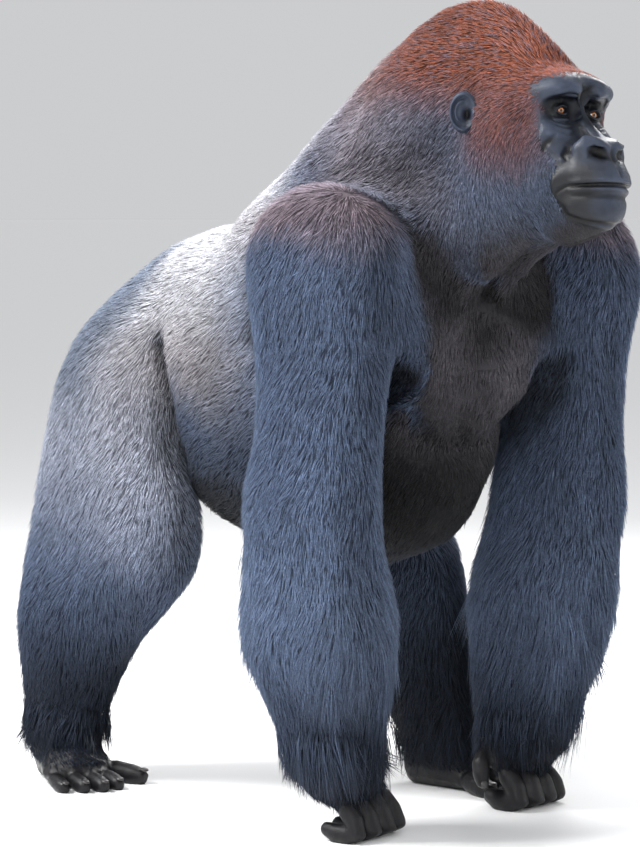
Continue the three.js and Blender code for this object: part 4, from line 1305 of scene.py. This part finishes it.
def make_nail(node):
    """A copy of the nail's solid, seated on the skin and rounded by subdivision."""
    bm = bmesh.new()
    bm.from_mesh(nodes[node].data)
    bmesh.ops.remove_doubles(bm, verts=bm.verts, dist=WELD)
    centre = Vector(box_middle(node))
    seat, outward, _, _ = skin_tree.find_nearest(centre)
    bmesh.ops.translate(bm, verts=bm.verts, vec=seat + outward * NAIL_PROUD - centre)
    name = node.replace("nail_", "horn_")
    nail = link(mesh_from(bm, name), name)
    smooth = nail.modifiers.new("round", "SUBSURF")
    smooth.levels = smooth.render_levels = 2
    apply_modifiers(nail)
    smoothed(nail)
    nail.data.materials.append(nail_material)
    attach(nail, "root")
    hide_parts(node)


# ---- finishes ----


def place_on(tree):
    return added(tree, "TexCoord", "Object")


def read_from(tree, attribute, output="Fac"):
    return added(tree, "Attribute", output, attribute_name=attribute)


def noise(tree, place, scale, detail=4.0):
    return added(tree, "TexNoise", "Fac", {"Vector": place, "Scale": scale, "Detail": detail})


def ranged(tree, value, low, high, to_low, to_high):
    limits = {"From Min": low, "From Max": high, "To Min": to_low, "To Max": to_high}
    return added(tree, "MapRange", "Result", {"Value": value, **limits})


def mottled(tree, place, scale, to_low, to_high, detail=4.0):
    """A noise spread from one number to another."""
    return ranged(tree, noise(tree, place, scale, detail), 0.3, 0.7, to_low, to_high)


def scaled_by(tree, colour, factor):
    return added(tree, "VectorMath", "Vector", {0: colour, "Scale": factor}, operation="SCALE")


def ramp(tree, value, stops):
    """A run of colours. Each stop is its place, from 0 to 1, and its colour."""
    node = tree.nodes.new("ShaderNodeValToRGB")
    while len(node.color_ramp.elements) < len(stops):
        node.color_ramp.elements.new(0.5)
    for element, (position, colour) in zip(node.color_ramp.elements, stops):
        element.position = position
        element.color = (*colour, 1)
    fill(tree, node, {"Fac": value})
    return node.outputs["Color"]


def coat_finish():
    """Hair: darker at the root, paler at the tip, streaked from lock to lock, with a soft sheen."""
    material, tree, shader = principled("coat")
    shade = ranged(tree, read_from(tree, "along"), 0, 1, 0.6, 1.2)
    streak = mottled(tree, place_on(tree), 260, 0.7, 1.3, detail=3)
    both = added(tree, "Math", "Value", {0: shade, 1: streak}, operation="MULTIPLY")
    fill(tree, shader, {
        "Base Color": scaled_by(tree, read_from(tree, "marking", "Color"), both),
        "Roughness": 0.62,
        "Specular IOR Level": 0.18,
        "Sheen Weight": 0.02,
        "Sheen Roughness": 0.5,
    })
    return material


def skin_finish():
    """Leathery dark skin: mottled, finely cracked and pored, with a dull shine, and duller under the coat."""
    material, tree, shader = principled("bare_skin")
    place = place_on(tree)
    mottle = mottled(tree, place, 38, 0.72, 1.3)
    shine = mottled(tree, place, 90, 0.30, 0.50)
    dull = added(tree, "Mix", 0, {0: read_from(tree, "bare"), 2: 0.9, 3: shine})
    web = {"Vector": place, "Scale": 330}
    cracks = added(tree, "TexVoronoi", "Distance", web, feature="DISTANCE_TO_EDGE")
    cracks = ranged(tree, cracks, 0.0, 0.12, 0.0, 1.0)
    height = added(tree, "Math", "Value", {0: cracks, 1: noise(tree, place, 700, 3)}, operation="ADD")
    relief = added(tree, "Bump", "Normal", {"Strength": 0.35, "Distance": 0.0006, "Height": height})
    fill(tree, shader, {
        "Base Color": scaled_by(tree, read_from(tree, "marking", "Color"), mottle),
        "Roughness": dull,
        "Specular IOR Level": 0.28,
        "Normal": relief,
    })
    return material


EYE_COLOURS = [
    # degrees from the gaze, and the colour there
    (0.0, (0.002, 0.002, 0.002)),
    (9.0, (0.002, 0.002, 0.002)),
    (10.5, (0.10, 0.030, 0.008)),
    (14.0, (0.42, 0.17, 0.04)),
    (21.0, (0.34, 0.105, 0.022)),
    (26.0, (0.10, 0.030, 0.010)),
    (28.5, (0.012, 0.006, 0.004)),
    (34.0, (0.060, 0.034, 0.026)),
]
EYE_RANGE = 40  # degrees from the gaze that the run of colours covers


def eye_finish():
    """Amber iris with a dark pupil and rim, and a brown white of the eye, under a wet cornea."""
    material, tree, shader = principled("eye")
    angle = ranged(tree, read_from(tree, "from_gaze"), 0, EYE_RANGE, 0, 1)
    colour = ramp(tree, angle, [(degrees / EYE_RANGE, tone) for degrees, tone in EYE_COLOURS])
    fibres = mottled(tree, place_on(tree), 900, 0.7, 1.3, detail=2)
    fill(tree, shader, {
        "Base Color": scaled_by(tree, colour, fibres),
        "Roughness": 0.12,
        "Coat Weight": 1.0,
        "Coat Roughness": 0.03,
    })
    return material


def nail_finish():
    """Black horn, mottled and worn."""
    material, tree, shader = principled("nail_horn")
    place = place_on(tree)
    horn = [(0, (0.010, 0.010, 0.011)), (1, (0.060, 0.056, 0.055))]
    colour = ramp(tree, noise(tree, place, 220), horn)
    fill(tree, shader, {"Base Color": colour, "Roughness": mottled(tree, place, 400, 0.28, 0.5)})
    return material


coat_material = coat_finish()
grow_coat()
weld(skin)
eye_material, skin_material, nail_material = eye_finish(), skin_finish(), nail_finish()
skin.data.materials.clear()
skin.data.materials.append(skin_material)
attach(skin, "root")
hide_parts(*FLESH, *DIGITS)
for side in SIDES:
    make_eye(side)
    make_ear(side)
for node in list(nodes):
    if node.startswith("nail_"):
        make_nail(node)
